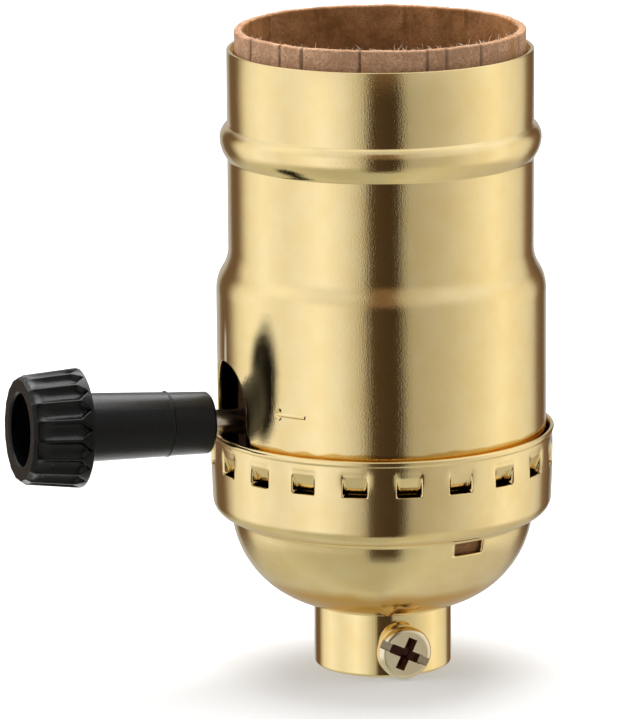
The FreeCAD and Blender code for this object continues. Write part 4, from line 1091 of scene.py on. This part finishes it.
def make_camera():
    """The photograph's view."""
    data = bpy.data.cameras.new("camera")
    data.sensor_fit = "VERTICAL"
    data.sensor_height = SENSOR_TALL
    data.lens = CAMERA_LENS
    data.clip_start = 0.01
    level, climb = math.cos(CAMERA_PITCH), math.sin(CAMERA_PITCH)
    ahead = Vector((math.sin(CAMERA_YAW) * level, math.cos(CAMERA_YAW) * level, -climb))
    side = Vector((math.cos(CAMERA_YAW), -math.sin(CAMERA_YAW), 0))
    up = side.cross(ahead)
    lean, rest = math.sin(CAMERA_ROLL), math.cos(CAMERA_ROLL)
    right, top = rest * side + lean * up, rest * up - lean * side
    stance = Matrix((right, top, -ahead)).transposed().to_4x4()
    stance.translation = Vector(CAMERA_AT) * MM
    camera = place("camera", data)
    camera.matrix_world = Matrix.Rotation(VIEW_TURN, 4, "Z") @ stance
    bpy.context.scene.camera = camera


def make_world():
    """White to the camera. Metal sees a studio: soft boxes at both sides, dark gaps between them."""
    world = bpy.data.worlds.new("studio")
    bpy.context.scene.world = world
    world.use_nodes = True
    tree = world.node_tree
    tree.nodes.clear()
    way = add(tree, "TexCoord").outputs["Generated"]
    way = add(tree, "VectorRotate", {"Vector": way, "Angle": -VIEW_TURN}, rotation_type="Z_AXIS").outputs[0]
    parts = add(tree, "SeparateXYZ", {0: way})
    azimuth = maths(tree, "ARCTAN2", parts.outputs[0], maths(tree, "MULTIPLY", parts.outputs[1], -1.0))
    azimuth = maths(tree, "DEGREES", azimuth)
    climb = maths(tree, "DEGREES", maths(tree, "ARCSINE", parts.outputs[2]))

    def around(stops):
        share = spread(tree, azimuth, -180, 180, 0, 1)
        band = add(tree, "ValToRGB", {0: share})
        marks = band.color_ramp.elements
        marks.remove(marks[1])
        for index, (degrees, level, tint) in enumerate(stops):
            mark = marks.new((degrees + 180) / 360) if index else marks[0]
            mark.color = (*[level * part for part in tint], 1)
        return band.outputs[0]

    look = around(GROUND_STOPS)
    for low, high, stops in RINGS:
        look = blend(tree, spread(tree, climb, low, high, 0, 1, True), look, around(stops))
    studio = add(tree, "Background", {"Color": look})
    white = add(tree, "Background", {"Color": (1, 1, 1, 1)})
    seen = add(tree, "LightPath").outputs["Is Camera Ray"]
    mix = add(tree, "MixShader", {0: seen, 1: studio.outputs[0], 2: white.outputs[0]})
    add(tree, "OutputWorld", {"Surface": mix.outputs[0]})


def soft_box(name, azimuth, climb, distance, size, watts):
    """A square lamp that looks at the socket, placed by its direction from the camera's side."""
    data = bpy.data.lights.new(name, "AREA")
    data.shape = "RECTANGLE"
    data.size, data.size_y = size
    data.energy = watts
    lamp = place(name, data)
    turn, lift = math.radians(azimuth) + VIEW_TURN, math.radians(climb)
    away = Vector((math.sin(turn) * math.cos(lift), -math.cos(turn) * math.cos(lift), math.sin(lift)))
    lamp.location = Vector(LAMP_AIM) + distance * away
    lamp.rotation_euler = away.to_track_quat("Z", "Y").to_euler()
    lamp.visible_camera = False
    lamp.visible_glossy = False
    return lamp


def knob_light(lamp):
    """Let a lamp light the knob alone, with a gloss on its ridges, and nothing else block it."""
    lamp.visible_glossy = True
    group = bpy.data.collections.new("lit_by_" + lamp.name)
    group.objects.link(bpy.data.objects["fluted_knob"])
    lamp.light_linking.receiver_collection = group
    lamp.light_linking.blocker_collection = group


def make_floor():
    """A pale floor that stays white away from the socket's shadow."""
    corners = [(x * FLOOR_REACH, y * FLOOR_REACH, 0) for x, y in CORNERS]
    floor = finish_mesh("floor", corners, [(0, 1, 2, 3)], smooth=False)
    made, tree, shader = new_material("floor_white", Roughness=0.9, Specular_IOR_Level=0.0)
    shader.inputs["Base Color"].default_value = FLOOR_GREY
    glow = add(tree, "Emission", {"Strength": FLOOR_GLOW})
    both = add(tree, "AddShader", {0: shader.outputs[0], 1: glow.outputs[0]})
    seen = add(tree, "LightPath").outputs["Is Camera Ray"]
    mix = add(tree, "MixShader", {0: seen, 1: shader.outputs[0], 2: both.outputs[0]})
    tree.links.new(mix.outputs[0], tree.nodes["Material Output"].inputs["Surface"])
    floor.data.materials.append(made)
    floor.visible_glossy = False


def make_skins():
    """Every material, by a short name."""
    return {
        "sheet": brass("brass_sheet", (0.93, 0.75, 0.40), (0.91, 0.71, 0.35), rough=0.035, grain=0.011,
                       streak=0.003, stretch=(6, 6, 0.04), height_bands=SHELL_SHADE_AND_BAND),
        "cap": brass("brass_cap", (0.93, 0.75, 0.41), (0.90, 0.70, 0.35), rough=0.12, grain=0.007,
                     streak=0.0012, stretch=(0.3, 0.3, 3.0), height_bands=CAP_PAINTED_REFLECTION),
        "turned": brass("brass_turned", (0.94, 0.76, 0.40), (0.92, 0.71, 0.34), rough=0.09, grain=0.001,
                        streak=0.0035, stretch=(5, 5, 0.04), swell=0.01),
        "screw": brass("brass_screw", (0.90, 0.80, 0.58), (0.82, 0.70, 0.48), rough=0.2, grain=0.004,
                       streak=0.001, stretch=(3, 3, 3), swell=0.01),
        "contact": brass("contact_brass", (0.88, 0.66, 0.30), (0.80, 0.56, 0.24), rough=0.25, grain=0.003,
                         streak=0.002, stretch=(4, 0.2, 0.2)),
        "steel": plain_skin("steel", (0.50, 0.46, 0.42), (0.62, 0.58, 0.54), rough=0.28, bump=0.01,
                            scale=2.0, metal=1.0),
        "shaft": plain_skin("bright_steel", (0.60, 0.53, 0.47), (0.70, 0.63, 0.57), rough=0.2, bump=0.002,
                            scale=1.0, metal=1.0),
        "aluminium": plain_skin("aluminium", (0.80, 0.80, 0.81), (0.88, 0.88, 0.88), rough=0.3, bump=0.006,
                                scale=1.5, metal=1.0),
        "phenolic": plain_skin("phenolic", (0.014, 0.011, 0.012), (0.026, 0.020, 0.019), rough=0.32,
                               bump=0.02),
        "fibre": plain_skin("fibre", (0.17, 0.078, 0.03), (0.26, 0.13, 0.055), rough=0.8, bump=0.05,
                            scale=0.9, gloss=0.1),
        "card": cardboard(),
        "lint": plain_skin("paper_fibres", (0.50, 0.36, 0.27), (0.62, 0.47, 0.37), rough=0.9, bump=0.0),
        "plastic": black_plastic(),
    }


def make_pieces():
    """Build the detailed pieces, and dress them and the nodes that stay."""
    skins = make_skins()
    for make, skin, body, slot, *nodes in (
        (make_outer_shell, "sheet", "socket", "brass_sheet", "outer_shell"),
        (make_arrow, "sheet", "socket", "brass_sheet"),
        (make_cap, "cap", "socket", "brass_sheet", "cap"),
        (make_cap_liner, "fibre", "socket", "fibre", "cap_liner"),
        (make_neck, "turned", "socket", "brass_turned", "neck_bushing"),
        (make_set_screw, "screw", "clamp_screw", "brass_turned", "set_screw"),
        (make_liner, "card", "socket", "cardboard", "shell_liner"),
        (make_fuzz, "lint", "socket", "cardboard"),
        (make_screw_shell, "aluminium", "socket", "thread_aluminium", "screw_shell"),
        (make_knob, "plastic", "knob_spindle", "knob_plastic", "knob"),
    ):
        dress(make(), skins[skin], body, slot, *nodes)
    for skin, nodes in NODE_SKINS.items():
        for name in nodes:
            dress_node(name, skins[skin])


def main():
    """Build the pieces and set the stage."""
    make_pieces()
    make_camera()
    make_world()
    make_floor()
    for lamp in LAMPS:
        soft_box(*lamp)
    for lamp in KNOB_LAMPS:
        knob_light(soft_box(*lamp))
    bpy.context.scene.view_settings.view_transform = "Standard"


main()
